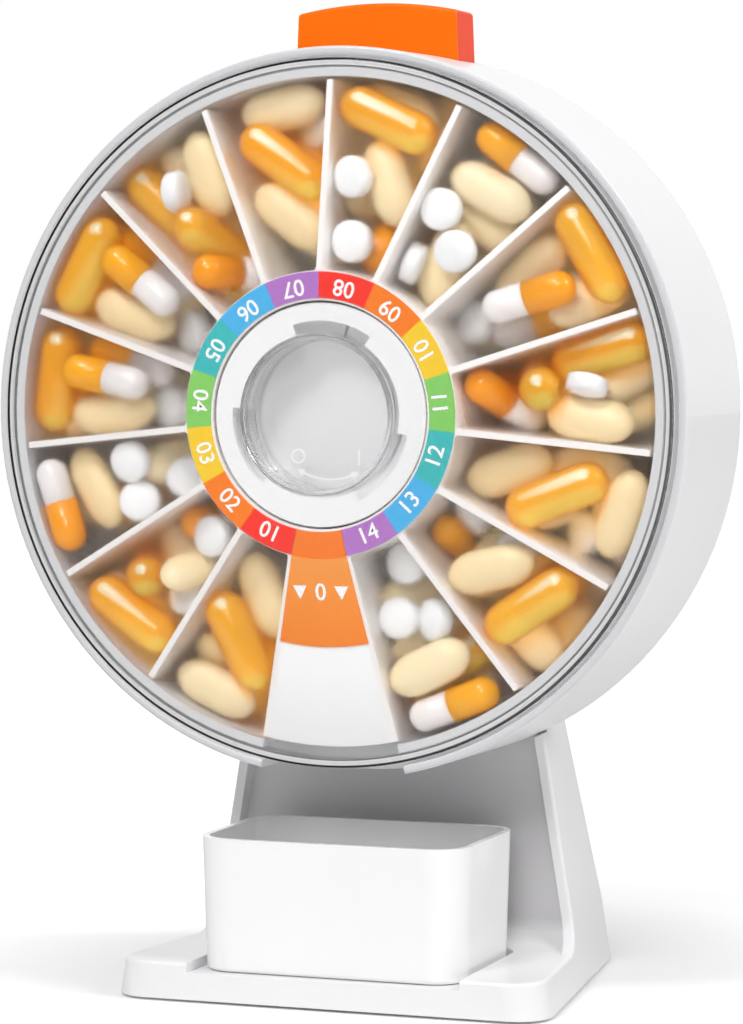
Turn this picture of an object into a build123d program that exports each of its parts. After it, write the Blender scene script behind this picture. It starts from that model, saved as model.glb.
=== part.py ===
from build123d import *
from math import cos, degrees, hypot, radians, sin, sqrt
import os

os.makedirs("parts", exist_ok=True)

# Automatic pill dispenser. A button on top turns a wheel of fifteen sectors by one sector,
# and the pills of the next compartment fall through an outlet into a tray.
# Millimetres. +Z is up, +X is right seen from the front, and the front faces -Y.
# The origin is on the table, in the middle of the overall width and depth.
# Depths are counted from the drum's front lip towards the back, and angles from +X
# counterclockwise, both as seen from the front.

# ------------------------------------------------------------------ wheel
AXIS_HEIGHT = 130.3            # wheel axis above the table
SECTORS = 15                   # fourteen doses and the closed start sector
WHEEL_GAP = 0.7                # air between the wheel and the guard ring
WHEEL_FLOOR = 21.0             # depth of the compartments' floor
WHEEL_DISC = 2.0               # thickness of the floor
DIVIDER = 1.4                  # wall between two compartments
CELL_CORNER = 0.8              # rounding at the inner end of a compartment
DIVIDER_ROOT = 1.5             # stub on the hub that a divider stands on
HUB_RADIUS = 31.2              # inner end of the compartments
HUB_FRONT = -7.8               # depth of the hub's front face
RIM_FRONT = -1.0               # depth of the dividers' outer front corners
HUB_WALL = 1.6
HUB_LIP = 6.4                  # width of the hub's front ring
WEB_FRONT = 6.0                # web between the hub and its bearing
WEB = 2.0
BEARING_GAP = 0.1              # between the spindle and the wheel
BEARING_WALL = 2.9
TAIL_RADIUS = 17.4             # tail that carries the ratchet gear
TAIL_WALL = 2.2
TAIL_END = 28.5
START_ANGLE = 270              # middle of the closed sector, over the outlet
START_SKIN = 1.9               # front and outer walls of the closed sector

# ------------------------------------------------------------------ labels
LABEL_MARGIN = 0.5             # hub ring left bare inside the labels
LABEL_EDGE = 0.2               # and outside them
LABEL = 0.3                    # thickness of both labels
START_LABEL_LENGTH = 19.3      # beyond the hub
START_LABEL_HALF_ANGLE = 11.7

# ------------------------------------------------------------------ drum
DRUM_RADIUS = 80.0
DRUM_DEPTH = 42.0
DRUM_FLARE = 0.7               # growth of the radius towards the back
DRUM_WALL = 1.8
LIP_FRONT = -0.5
LIP_ROUNDING = 0.7
GUARD_WALL = 1.9               # ring that closes the compartments outside
GROOVE_DEPTH = 4.0             # groove for the front cover's skirt
GROOVE_WEB = 2.0
OUTLET_HALF_ANGLE = 12.2
OUTLET_CHEEK_ANGLE = 1.5
OUTLET_BACK = 22.0
SLOT_CLEARANCE = 0.3           # around the button

PLATE_FRONT = 23.5             # chassis plate behind the wheel
PLATE = 1.9
PLATE_GAP = 0.25
PLATE_BORE_GAP = 0.6
CASE_SCREW_ANGLES = (30, 75, 105, 150, 210, 330)
CASE_BOSS_RADIUS = 2.5
CASE_BOSS_SINK = 0.2           # into the drum's wall
PILLAR_INSET = 9.2             # from the drum's wall to the middle of a pillar
PILLAR_ANGLES = (15, 50, 130, 165, 215, 325)
PILLAR_RADIUS = 3.2

REAR_COVER = 1.8
REAR_COVER_GAP = 0.35
REAR_BOSS_RADIUS = 4.2
SPINDLE_BOSS_RADIUS = 10.5
SPINDLE_BOSS_FRONT = 32.9
COLUMN_BOSS_RADIUS = 3.2
COLUMN_BOSS_FRONT = 36.4

# ------------------------------------------------------------------ hub post
BOWL_GAP = 0.5                 # between the bowl and the hub
BOWL_WALL = 2.3
BOWL_FLOOR = 2.0               # depth of the bowl's floor
BOWL_FLOOR_THICKNESS = 2.0
SPINDLE_RADIUS = 7.0
SPINDLE_END = 38.0
WASHER_RADIUS = 12.0
WASHER = 1.6
LOCK_FRONT = -7.2
LOCK_RING = 2.0
LOCK_RING_WIDTH = 6.2
LOCK_SPIGOT = 1.0
LOCK_SPIGOT_WALL = 1.2
LOCK_SLOT_INSET = 3.9          # from the ring's outside to the slots
LOCK_SLOT_HALF_ANGLE = 26
LOCK_SLOT_CENTRES = (82, 202, 322)

# ------------------------------------------------------------------ front cover and knob
COVER = 1.4
COVER_AIR = 0.8                # air between the dividers and the cover
COVER_EDGE = 0.8
RIM_SEAT = 0.7                 # step that carries the knob's rim
SKIRT = 1.85
SKIRT_GAP = 0.35               # between the guard ring and the skirt
LIP_GAP = 0.8                  # between the skirt and the drum's lip
SKIRT_END = 3.7
KNOB_WALL = 0.9
KNOB_FLOOR = 1.3
KNOB_FLOOR_BACK = -0.4
KNOB_CLEARANCE = 0.2
LUG_SLEEVE_WALL = 0.7
LUG_GAP = 0.3
LUG = 1.5
LUG_HALF_ANGLE = 16.5
LUG_CENTRES = (91, 211, 331)

# ------------------------------------------------------------------ button and yoke
BUTTON_HALF_WIDTH = 19.3
BUTTON_FRONT = 28.5
BUTTON_DEPTH = 11.3
BUTTON_RISE = 11.4             # above the drum
BUTTON_SINK = 8.6              # below the drum's radius
BUTTON_WALL = 1.8
BUTTON_EDGE = 0.9
BUTTON_DRAFT = 2.4             # degrees, of the side faces
BUTTON_TRAVEL = 9.6
FLANGE_WIDTH = 2.4
FLANGE_HEIGHT = 3.0
BUTTON_BOSS_RADIUS = 4.2
BUTTON_SCREW_X = 11.0

YOKE_FRONT = 33.0
YOKE = 3.0
YOKE_PAD = 2.0
YOKE_PAD_HALF_WIDTH = 15.5
YOKE_NECK_HALF_WIDTH = 7.5
YOKE_NECK_LENGTH = 12.4        # from the button to the cross bar
YOKE_BAR = 9.0
YOKE_ARM_INNER = 21.0
YOKE_ARM_OUTER = 27.2
RAIL_CLEARANCE = 0.3
RAIL_WIDTH = 1.6
RAIL_BACK = 36.6
RAIL_BOTTOM = 3.0
RAIL_LEAD = 1.5                # above the cross bar

SPRING_X = 14.0
SPRING_RADIUS = 3.4
SPRING_WIRE = 0.7
SPRING_TURNS = 7
SPRING_END_GAP = 0.05
SPRING_PAD = 2.0
SPRING_PAD_HALF_WIDTH = 4.8
SPRING_ROOM = 19.0             # between shelf and cross bar
SHELF = 2.2
SHELF_BACK = 38.8
PEG_RADIUS = 2.4
PEG_HEIGHT = 7.5

# ------------------------------------------------------------------ ratchet
GEAR = 4.0
GEAR_TIP = 20.5
GEAR_ROOT = 15.5
TOOTH_FACE_ANGLE = 168         # one radial tooth face at rest
GEAR_SCREW_PITCH = 12.6
GEAR_SCREW_ANGLES = (90, 210, 330)
HEAD_POCKET = 1.8              # sinking of a screw head

PAWL_X = -24.7                 # pawl pivot at rest, from the wheel axis
PAWL_Z = 18.5
PAWL_SWING = 9.8               # degrees from rest to the end of the stroke
PAWL = 3.6
PAWL_FRONT = 28.8
PAWL_EYE = 2.6
NOSE_RADIUS = 18.7             # reach of the nose into the gear at the end of the stroke
PAWL_GAP = 0.3                 # air around the pawl
NOSE_LENGTH = 4.6
TAIL_HEIGHT = 10.0
TAIL_HALF_WIDTH = 0.7
FINGER_X = 1.25                # spring finger beside the tail
FINGER = 0.7
STUB_RADIUS = 0.9
STOP_HEIGHT = 3.0
PIN_RADIUS = 1.2
PIN_CLEARANCE = 0.08
PIN_HEAD_RADIUS = 2.2
PIN_HEAD = 0.8

LEAF_TIP = (19.7, -0.4)
LEAF_BEND = (22.4, -3.4)
LEAF_FOOT = -27.6
LEAF = 0.45
LEAF_POST_TOP = -20.0
LEAF_POST_BOTTOM = -30.0
LEAF_POST_HALF_WIDTH = 1.9

# ------------------------------------------------------------------ screws
SCREW_RADIUS = 1.25
SCREW_HOLE = 1.4
SCREW_HEAD_RADIUS = 2.1
SCREW_HEAD = 1.6
SCREW_LENGTH = 8.0
SCREW_RECESS = 0.8
HEAD_CLEARANCE = 0.3
FOOT_SCREW_LENGTH = 5.4
SPINDLE_SCREW_RADIUS = 1.6
SPINDLE_SCREW_HEAD_RADIUS = 3.4
SPINDLE_SCREW_HEAD = 1.9
SPINDLE_SCREW_LENGTH = 16.0

# ------------------------------------------------------------------ stand
FOOT_FRONT = -7.5
FOOT_BACK = 80.0
FOOT_UNDERSIDE = 0.6
FOOT_TOP = 8.8
FOOT_HALF_WIDTH = 51.5         # at the front, on the table
FOOT_TAPER = 0.122             # narrowing per side for each millimetre of depth
SIDE_LEAN = 0.163              # narrowing per side for each millimetre of height
FOOT_CORNER = 8.0
FOOT_EDGE = 0.8
FOOT_BACK_KNEE = 15.0
COLUMN_FRONT = 38.5
COLUMN_TOP = 150.0
COLUMN_BACK = ((64.5, 70.0), (54.0, 140.0))
COLUMN_BACK_TOP = 52.5
COLUMN_EDGE = 4.0
STAND_WALL = 2.2
FLANGE = 2.6                   # width of the column's side flanges
PANEL = 3.0
PANEL_FILLET = 8.0
DRUM_SEAT_GAP = 0.5
RECESS_HALF_WIDTH = 31.8
RECESS_FLOOR = 6.7
RECESS_BACK = 37.2
RECESS_CORNER = 8.0
CAVITY_TOP = 4.6
COLUMN_SCREWS = ((-14, -30), (14, -30), (-12, 8), (12, 8))
ACCESS_TUBE = 4.6
ACCESS_BORE = 2.9
BASE_PLATE = 2.4
BASE_PLATE_GAP = 0.3
FOOT_SCREWS = ((-40, 6), (40, 6), (-30, 74.4), (30, 74.4))
FOOT_BOSS_RADIUS = 3.6
FOOT_BOSS_TOP = 24.0
PAD_RADIUS = 5.0
PAD = 1.3
PADS = ((-36, 18), (36, 18), (-30, 60), (30, 60))
OVERSHOOT = 20.0               # of the stand's profiles past its side faces

# ------------------------------------------------------------------ tray
TRAY_HALF_WIDTH = 31.4
TRAY_FRONT = -5.6
TRAY_BACK = 36.8
TRAY_HEIGHT = 29.7
TRAY_WALL = 1.6
TRAY_CORNER = 8.5
TRAY_DRAFT = 1.8               # degrees
TRAY_FOOT_ROUNDING = 1.0
TRAY_GAP = 0.1                 # air below the tray

# ------------------------------------------------------------------ derived sizes
PITCH = 360 / SECTORS
COVER_FRONT = HUB_FRONT - COVER_AIR - COVER
DEPTH_MIDDLE = (COVER_FRONT + FOOT_BACK) / 2
WALL_INNER = DRUM_RADIUS - DRUM_WALL
SKIRT_OUTER = WALL_INNER - LIP_GAP
SKIRT_INNER = SKIRT_OUTER - SKIRT
GUARD_OUTER = SKIRT_INNER - SKIRT_GAP
GUARD_INNER = GUARD_OUTER - GUARD_WALL
WHEEL_RADIUS = GUARD_INNER - WHEEL_GAP
CONE = (RIM_FRONT - HUB_FRONT) / (WHEEL_RADIUS - HUB_RADIUS)
WHEEL_BACK = WHEEL_FLOOR + WHEEL_DISC
ROOT_RADIUS = HUB_RADIUS + DIVIDER_ROOT
HUB_BORE = HUB_RADIUS - HUB_LIP
LABEL_INNER = HUB_BORE + LABEL_MARGIN
LABEL_OUTER = HUB_RADIUS - LABEL_EDGE
START_LABEL_OUTER = HUB_RADIUS + START_LABEL_LENGTH
BOWL_RADIUS = HUB_BORE - BOWL_GAP
LOCK_BORE = BOWL_RADIUS - LOCK_RING_WIDTH
LOCK_SLOT_RADIUS = BOWL_RADIUS - LOCK_SLOT_INSET
LUG_RADIUS = LOCK_SLOT_RADIUS - LUG_GAP
LUG_SLEEVE = LOCK_BORE - KNOB_CLEARANCE
KNOB_RADIUS = LUG_SLEEVE - LUG_SLEEVE_WALL
COVER_BORE = KNOB_RADIUS + KNOB_CLEARANCE
KNOB_RIM = COVER_BORE + KNOB_CLEARANCE
BORE_RADIUS = SPINDLE_RADIUS + BEARING_GAP
GEAR_BORE = BORE_RADIUS + PAWL_GAP
CASE_SCREW_PITCH = WALL_INNER - CASE_BOSS_RADIUS + CASE_BOSS_SINK
PILLAR_PITCH = WALL_INNER - PILLAR_INSET
GROOVE_BACK = GROOVE_DEPTH + GROOVE_WEB
PLATE_BACK = PLATE_FRONT + PLATE
REAR_COVER_FRONT = DRUM_DEPTH - REAR_COVER
PILLAR_END = REAR_COVER_FRONT - HEAD_POCKET
GEAR_BACK = TAIL_END + GEAR
PAWL_BACK = PAWL_FRONT + PAWL
BUTTON_TOP_RADIUS = DRUM_RADIUS + BUTTON_RISE
BUTTON_BOTTOM = DRUM_RADIUS - BUTTON_SINK      # above the wheel axis
BUTTON_SLOT_TOP = sqrt(DRUM_RADIUS**2 - BUTTON_HALF_WIDTH**2)
YOKE_BAR_TOP = BUTTON_BOTTOM - YOKE_NECK_LENGTH
YOKE_BAR_BOTTOM = YOKE_BAR_TOP - YOKE_BAR
RAIL_TOP = YOKE_BAR_TOP + RAIL_LEAD
SHELF_TOP = YOKE_BAR_BOTTOM - SPRING_ROOM
YOKE_BACK = YOKE_FRONT + YOKE
BUTTON_BACK = BUTTON_FRONT + BUTTON_DEPTH
BUTTON_MIDDLE = BUTTON_FRONT + BUTTON_DEPTH / 2
PANEL_FRONT = DRUM_DEPTH
PANEL_BACK = PANEL_FRONT + PANEL
LOCK_BACK = LOCK_FRONT + LOCK_RING
LUG_FRONT = LOCK_BACK + KNOB_CLEARANCE
CELL_ANGLES = [START_ANGLE + PITCH * k for k in range(1, SECTORS)]
CASE_SCREWS_AT = [(CASE_SCREW_PITCH, angle) for angle in CASE_SCREW_ANGLES]
PILLARS_AT = [(PILLAR_PITCH, angle) for angle in PILLAR_ANGLES]
GEAR_SCREWS_AT = [(GEAR_SCREW_PITCH, angle) for angle in GEAR_SCREW_ANGLES]
DIVIDER_ANGLES = [START_ANGLE + PITCH * (k + 0.5) for k in range(1, SECTORS - 1)]


# ------------------------------------------------------------------ planes and outlines
def facing(depth):
    """Plane across the wheel axis: x is right, y is up and the normal faces the front."""
    return Plane((0, depth - DEPTH_MIDDLE, AXIS_HEIGHT), x_dir=(1, 0, 0), z_dir=(0, -1, 0))


def radial(angle):
    """Plane through the wheel axis: x is the radius and y is the depth."""
    a = radians(angle)
    return Plane(
        (0, -DEPTH_MIDDLE, AXIS_HEIGHT), x_dir=(cos(a), 0, sin(a)), z_dir=(-sin(a), 0, cos(a))
    )


def level(height):
    """Level plane: x is right, y is the depth and the normal is up."""
    return Plane((0, -DEPTH_MIDDLE, height), x_dir=(1, 0, 0), z_dir=(0, 0, 1))


SIDE = Plane((0, -DEPTH_MIDDLE, 0), x_dir=(0, 1, 0), z_dir=(1, 0, 0))  # depth and height
WHEEL_AXIS = Axis((0, -DEPTH_MIDDLE, AXIS_HEIGHT), (0, -1, 0))


def at(radius, angle):
    """Point at a radius and an angle around the wheel axis."""
    return (radius * cos(radians(angle)), radius * sin(radians(angle)))


def outline(plane, *points):
    """Closed outline of straight lines."""
    with BuildSketch(plane) as flat:
        with BuildLine():
            Polyline(*points, close=True)
        make_face()
    return flat.sketch


def discs(plane, radius, places):
    """Like discs at several places."""
    with BuildSketch(plane) as flat:
        with Locations(*places):
            Circle(radius)
    return flat.sketch


def box(plane, left, bottom, right, top):
    """Rectangle between two corners."""
    with BuildSketch(plane) as flat:
        with Locations(((left + right) / 2, (bottom + top) / 2)):
            Rectangle(right - left, top - bottom)
    return flat.sketch


def sector(plane, inner, outer, middle, half_angle):
    """Part of a ring, centred on one angle."""
    first = middle - half_angle
    last = middle + half_angle
    with BuildSketch(plane) as flat:
        with BuildLine():
            CenterArc((0, 0), inner, first, 2 * half_angle)
            CenterArc((0, 0), outer, first, 2 * half_angle)
            Line(at(inner, first), at(outer, first))
            Line(at(inner, last), at(outer, last))
        make_face()
    return flat.sketch


def places(polar_places):
    """Points from pairs of radius and angle."""
    return [at(radius, angle) for radius, angle in polar_places]


def cone_depth(radius):
    """Depth of the dividers' front edges at a radius."""
    return HUB_FRONT + CONE * (radius - HUB_RADIUS)


def screw(length):
    """Pan-head screw that runs along +Z, with its head below the origin."""
    with BuildPart() as made:
        with BuildSketch():
            Circle(SCREW_HEAD_RADIUS)
        extrude(amount=-SCREW_HEAD)
        fillet(made.edges().sort_by(Axis.Z)[0], SCREW_HEAD / 3)
        with BuildSketch():
            Circle(SCREW_RADIUS)
        extrude(amount=length)
        chamfer(made.edges().sort_by(Axis.Z)[-1], SCREW_RADIUS / 2)
        with BuildSketch(Plane.XY.offset(-SCREW_HEAD)):
            Rectangle(SCREW_HEAD_RADIUS * 1.2, SCREW_RECESS * 0.7)
            Rectangle(SCREW_RECESS * 0.7, SCREW_HEAD_RADIUS * 1.2)
        extrude(amount=SCREW_RECESS, mode=Mode.SUBTRACT)
    return made.part


# ------------------------------------------------------------------ drum housing
# Shell with a rolled lip and a web that carries the guard ring, so that the front cover's
# skirt has a groove. The outlet is cut at the bottom and the button slot on top.
with BuildPart() as drum_housing:
    shell = outline(
        radial(0),
        (GUARD_OUTER, GROOVE_DEPTH),
        (WALL_INNER, GROOVE_DEPTH),
        (WALL_INNER, LIP_FRONT),
        (DRUM_RADIUS, LIP_FRONT),
        (DRUM_RADIUS + DRUM_FLARE, DRUM_DEPTH),
        (WALL_INNER, DRUM_DEPTH),
        (WALL_INNER, GROOVE_BACK),
        (GUARD_OUTER, GROOVE_BACK),
    )
    revolve(shell, axis=WHEEL_AXIS)
    lip_edges = drum_housing.edges().filter_by(
        lambda edge: abs(edge.center().Y + DEPTH_MIDDLE - LIP_FRONT) < 0.01
    )
    fillet(lip_edges, LIP_ROUNDING)
    extrude(
        discs(facing(PLATE_FRONT), CASE_BOSS_RADIUS, places(CASE_SCREWS_AT)),
        amount=PLATE_FRONT - GROOVE_DEPTH - GROOVE_WEB / 2,
    )
    extrude(
        discs(facing(PLATE_FRONT), SCREW_RADIUS, places(CASE_SCREWS_AT)),
        amount=SCREW_LENGTH,
        mode=Mode.SUBTRACT,
    )
    cheeks = sector(
        facing(PLATE_FRONT),
        GUARD_OUTER,
        WALL_INNER + DRUM_WALL / 2,
        START_ANGLE,
        OUTLET_HALF_ANGLE + OUTLET_CHEEK_ANGLE,
    )
    extrude(cheeks, amount=PLATE_FRONT - GROOVE_DEPTH)
    opening = sector(
        facing(OUTLET_BACK), GUARD_INNER - 2, DRUM_RADIUS + 4, START_ANGLE, OUTLET_HALF_ANGLE
    )
    extrude(opening, amount=OUTLET_BACK + 4, mode=Mode.SUBTRACT)
    slot = box(
        facing(BUTTON_BACK + SLOT_CLEARANCE),
        -BUTTON_HALF_WIDTH - SLOT_CLEARANCE,
        WALL_INNER - 10,
        BUTTON_HALF_WIDTH + SLOT_CLEARANCE,
        DRUM_RADIUS + 5,
    )
    extrude(slot, amount=BUTTON_DEPTH + 2 * SLOT_CLEARANCE, mode=Mode.SUBTRACT)
    with BuildSketch(facing(PLATE_FRONT)):
        Circle(GUARD_OUTER)
    extrude(amount=PLATE_FRONT - GROOVE_DEPTH, mode=Mode.SUBTRACT)

# Ring around the wheel, cemented to the drum's web and bosses. It keeps the pills in their
# compartments and is open over the outlet.
with BuildPart() as guard_ring:
    with BuildSketch(facing(PLATE_FRONT)):
        Circle(GUARD_OUTER)
        Circle(GUARD_INNER, mode=Mode.SUBTRACT)
    extrude(amount=PLATE_FRONT - RIM_FRONT)
    extrude(opening, amount=OUTLET_BACK + 4, mode=Mode.SUBTRACT)
    extrude(
        discs(facing(PLATE_FRONT), SCREW_RADIUS, places(CASE_SCREWS_AT)),
        amount=SCREW_LENGTH,
        mode=Mode.SUBTRACT,
    )

# ------------------------------------------------------------------ chassis plate
# Plate between the wheel and the drive. It carries the pillars for the rear cover, the
# rails of the yoke, the shelves of the return springs, the pawl stop and the leaf post.
RAIL_INNER = YOKE_ARM_OUTER + RAIL_CLEARANCE
STOP_INNER = -PAWL_X + TAIL_HALF_WIDTH + PAWL_GAP
STOP_BOTTOM = PAWL_Z + TAIL_HEIGHT - STOP_HEIGHT / 2
with BuildPart() as chassis_plate:
    with BuildSketch(facing(PLATE_BACK)):
        Circle(WALL_INNER - PLATE_GAP)
        Circle(TAIL_RADIUS + PLATE_BORE_GAP, mode=Mode.SUBTRACT)
        with Locations(*places(CASE_SCREWS_AT)):
            Circle(SCREW_HOLE, mode=Mode.SUBTRACT)
    extrude(amount=PLATE)
    extrude(
        discs(facing(PILLAR_END), PILLAR_RADIUS, places(PILLARS_AT)),
        amount=PILLAR_END - PLATE_BACK,
    )
    extrude(
        discs(facing(PILLAR_END), SCREW_RADIUS, places(PILLARS_AT)),
        amount=SCREW_LENGTH,
        mode=Mode.SUBTRACT,
    )
    for side in (-1, 1):
        near = side * RAIL_INNER
        far = side * (RAIL_INNER + RAIL_WIDTH)
        rail = box(facing(RAIL_BACK), min(near, far), RAIL_BOTTOM, max(near, far), RAIL_TOP)
        extrude(rail, amount=RAIL_BACK - PLATE_BACK)
        shelf = box(
            facing(SHELF_BACK),
            side * SPRING_X - SPRING_PAD_HALF_WIDTH,
            SHELF_TOP - SHELF,
            side * SPRING_X + SPRING_PAD_HALF_WIDTH,
            SHELF_TOP,
        )
        extrude(shelf, amount=SHELF_BACK - PLATE_BACK)
    pegs = discs(
        level(AXIS_HEIGHT + SHELF_TOP),
        PEG_RADIUS,
        [(-SPRING_X, BUTTON_MIDDLE), (SPRING_X, BUTTON_MIDDLE)],
    )
    extrude(pegs, amount=PEG_HEIGHT)
    stop = box(
        facing(PAWL_BACK),
        -RAIL_INNER - RAIL_WIDTH / 2,
        STOP_BOTTOM,
        -STOP_INNER,
        STOP_BOTTOM + STOP_HEIGHT,
    )
    extrude(stop, amount=PAWL_BACK - PLATE_BACK)
    post = box(
        facing(PAWL_BACK),
        LEAF_BEND[0] - LEAF_POST_HALF_WIDTH,
        LEAF_POST_BOTTOM,
        LEAF_BEND[0] + LEAF_POST_HALF_WIDTH,
        LEAF_POST_TOP,
    )
    extrude(post, amount=PAWL_BACK - PLATE_BACK)
    slit = box(
        facing(PAWL_BACK),
        LEAF_BEND[0] - LEAF / 2,
        LEAF_FOOT,
        LEAF_BEND[0] + LEAF / 2,
        LEAF_POST_TOP + 1,
    )
    extrude(slit, amount=PAWL, mode=Mode.SUBTRACT)

# ------------------------------------------------------------------ rear cover
# Disc with a socket for the spindle and bosses for the screws of the column.
with BuildPart() as rear_cover:
    with BuildSketch(facing(DRUM_DEPTH)):
        Circle(WALL_INNER - REAR_COVER_GAP)
    extrude(amount=REAR_COVER)
    extrude(
        discs(facing(DRUM_DEPTH), REAR_BOSS_RADIUS, places(PILLARS_AT)),
        amount=DRUM_DEPTH - PILLAR_END,
    )
    extrude(
        discs(facing(DRUM_DEPTH), SCREW_HOLE, places(PILLARS_AT)),
        amount=DRUM_DEPTH,
        mode=Mode.SUBTRACT,
    )
    extrude(
        discs(facing(DRUM_DEPTH), SCREW_HEAD_RADIUS + HEAD_CLEARANCE, places(PILLARS_AT)),
        amount=HEAD_POCKET,
        mode=Mode.SUBTRACT,
    )
    extrude(
        discs(facing(REAR_COVER_FRONT), COLUMN_BOSS_RADIUS, COLUMN_SCREWS),
        amount=REAR_COVER_FRONT - COLUMN_BOSS_FRONT,
    )
    extrude(
        discs(facing(DRUM_DEPTH), SCREW_RADIUS, COLUMN_SCREWS),
        amount=SCREW_LENGTH - PANEL,
        mode=Mode.SUBTRACT,
    )
    with BuildSketch(facing(REAR_COVER_FRONT)):
        Circle(SPINDLE_BOSS_RADIUS)
    extrude(amount=REAR_COVER_FRONT - SPINDLE_BOSS_FRONT)
    with BuildSketch(facing(SPINDLE_END)):
        Circle(SPINDLE_RADIUS)
    extrude(amount=SPINDLE_END, mode=Mode.SUBTRACT)
    with BuildSketch(facing(DRUM_DEPTH)):
        Circle(SPINDLE_SCREW_RADIUS + SCREW_HOLE - SCREW_RADIUS)
    extrude(amount=DRUM_DEPTH - SPINDLE_END, mode=Mode.SUBTRACT)
    with BuildSketch(facing(DRUM_DEPTH)):
        Circle(SPINDLE_SCREW_HEAD_RADIUS + HEAD_CLEARANCE)
    extrude(amount=SPINDLE_SCREW_HEAD + HEAD_CLEARANCE, mode=Mode.SUBTRACT)

# ------------------------------------------------------------------ hub post
# Bowl that takes the knob, in one piece with the spindle of the wheel.
with BuildPart() as hub_post:
    spindle_pilot = SPINDLE_END - SPINDLE_SCREW_LENGTH
    post_shape = outline(
        radial(0),
        (0, BOWL_FLOOR),
        (BOWL_RADIUS - BOWL_WALL, BOWL_FLOOR),
        (BOWL_RADIUS - BOWL_WALL, LOCK_BACK),
        (BOWL_RADIUS, LOCK_BACK),
        (BOWL_RADIUS, BOWL_FLOOR + BOWL_FLOOR_THICKNESS),
        (SPINDLE_RADIUS, BOWL_FLOOR + BOWL_FLOOR_THICKNESS),
        (SPINDLE_RADIUS, SPINDLE_END),
        (SPINDLE_SCREW_RADIUS, SPINDLE_END),
        (SPINDLE_SCREW_RADIUS, spindle_pilot),
        (0, spindle_pilot),
    )
    revolve(post_shape, axis=WHEEL_AXIS)

# Ring with three bayonet slots, pressed into the bowl.
with BuildPart() as lock_ring:
    spigot_outer = BOWL_RADIUS - BOWL_WALL
    ring_shape = outline(
        radial(0),
        (LOCK_BORE, LOCK_FRONT),
        (BOWL_RADIUS, LOCK_FRONT),
        (BOWL_RADIUS, LOCK_BACK),
        (spigot_outer, LOCK_BACK),
        (spigot_outer, LOCK_BACK + LOCK_SPIGOT),
        (spigot_outer - LOCK_SPIGOT_WALL, LOCK_BACK + LOCK_SPIGOT),
        (spigot_outer - LOCK_SPIGOT_WALL, LOCK_BACK),
        (LOCK_BORE, LOCK_BACK),
    )
    revolve(ring_shape, axis=WHEEL_AXIS)
    for centre in LOCK_SLOT_CENTRES:
        bay = sector(
            facing(LOCK_BACK), LOCK_BORE - 1, LOCK_SLOT_RADIUS, centre, LOCK_SLOT_HALF_ANGLE
        )
        extrude(bay, amount=LOCK_RING, mode=Mode.SUBTRACT)

# Slip washer between the bowl and the wheel.
with BuildPart() as thrust_washer:
    with BuildSketch(facing(BOWL_FLOOR + BOWL_FLOOR_THICKNESS + WASHER)):
        Circle(WASHER_RADIUS)
        Circle(SPINDLE_RADIUS, mode=Mode.SUBTRACT)
    extrude(amount=WASHER)

# Screw that draws the spindle against the rear cover.
with BuildPart(facing(DRUM_DEPTH - SPINDLE_SCREW_HEAD - HEAD_CLEARANCE)) as spindle_screw:
    Cylinder(
        SPINDLE_SCREW_HEAD_RADIUS,
        SPINDLE_SCREW_HEAD,
        align=(Align.CENTER, Align.CENTER, Align.MAX),
    )
    Cylinder(
        SPINDLE_SCREW_RADIUS,
        SPINDLE_SCREW_LENGTH,
        align=(Align.CENTER, Align.CENTER, Align.MIN),
    )
    with Locations((0, 0, -SPINDLE_SCREW_HEAD)):
        Box(
            SPINDLE_SCREW_HEAD_RADIUS * 1.2,
            SCREW_RECESS,
            SCREW_RECESS * 2,
            mode=Mode.SUBTRACT,
        )
        Box(
            SCREW_RECESS,
            SPINDLE_SCREW_HEAD_RADIUS * 1.2,
            SCREW_RECESS * 2,
            mode=Mode.SUBTRACT,
        )

# ------------------------------------------------------------------ pill wheel
# Moulded wheel with a hub that turns on the spindle. Fourteen compartments are open in front
# and outside, and the fifteenth is a closed block, cored from behind.
half_cell = PITCH / 2
with BuildSketch() as cell:
    shift = DIVIDER / 2
    inner_angle = half_cell - degrees(shift / HUB_RADIUS)
    outer = WHEEL_RADIUS + 2
    outer_angle = half_cell - degrees(shift / outer)
    with BuildLine():
        CenterArc((0, 0), HUB_RADIUS, -inner_angle, 2 * inner_angle)
        CenterArc((0, 0), outer, -outer_angle, 2 * outer_angle)
        Line(at(HUB_RADIUS, inner_angle), at(outer, outer_angle))
        Line(at(HUB_RADIUS, -inner_angle), at(outer, -outer_angle))
    make_face()
    fillet(cell.vertices().filter_by(lambda v: hypot(v.X, v.Y) < HUB_RADIUS + 1), CELL_CORNER)


def blade(angle):
    """Side view of the divider at an angle."""
    return outline(
        radial(angle),
        (ROOT_RADIUS, cone_depth(ROOT_RADIUS)),
        (WHEEL_RADIUS, RIM_FRONT),
        (WHEEL_RADIUS, WHEEL_FLOOR),
        (ROOT_RADIUS, WHEEL_FLOOR),
    )


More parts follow.
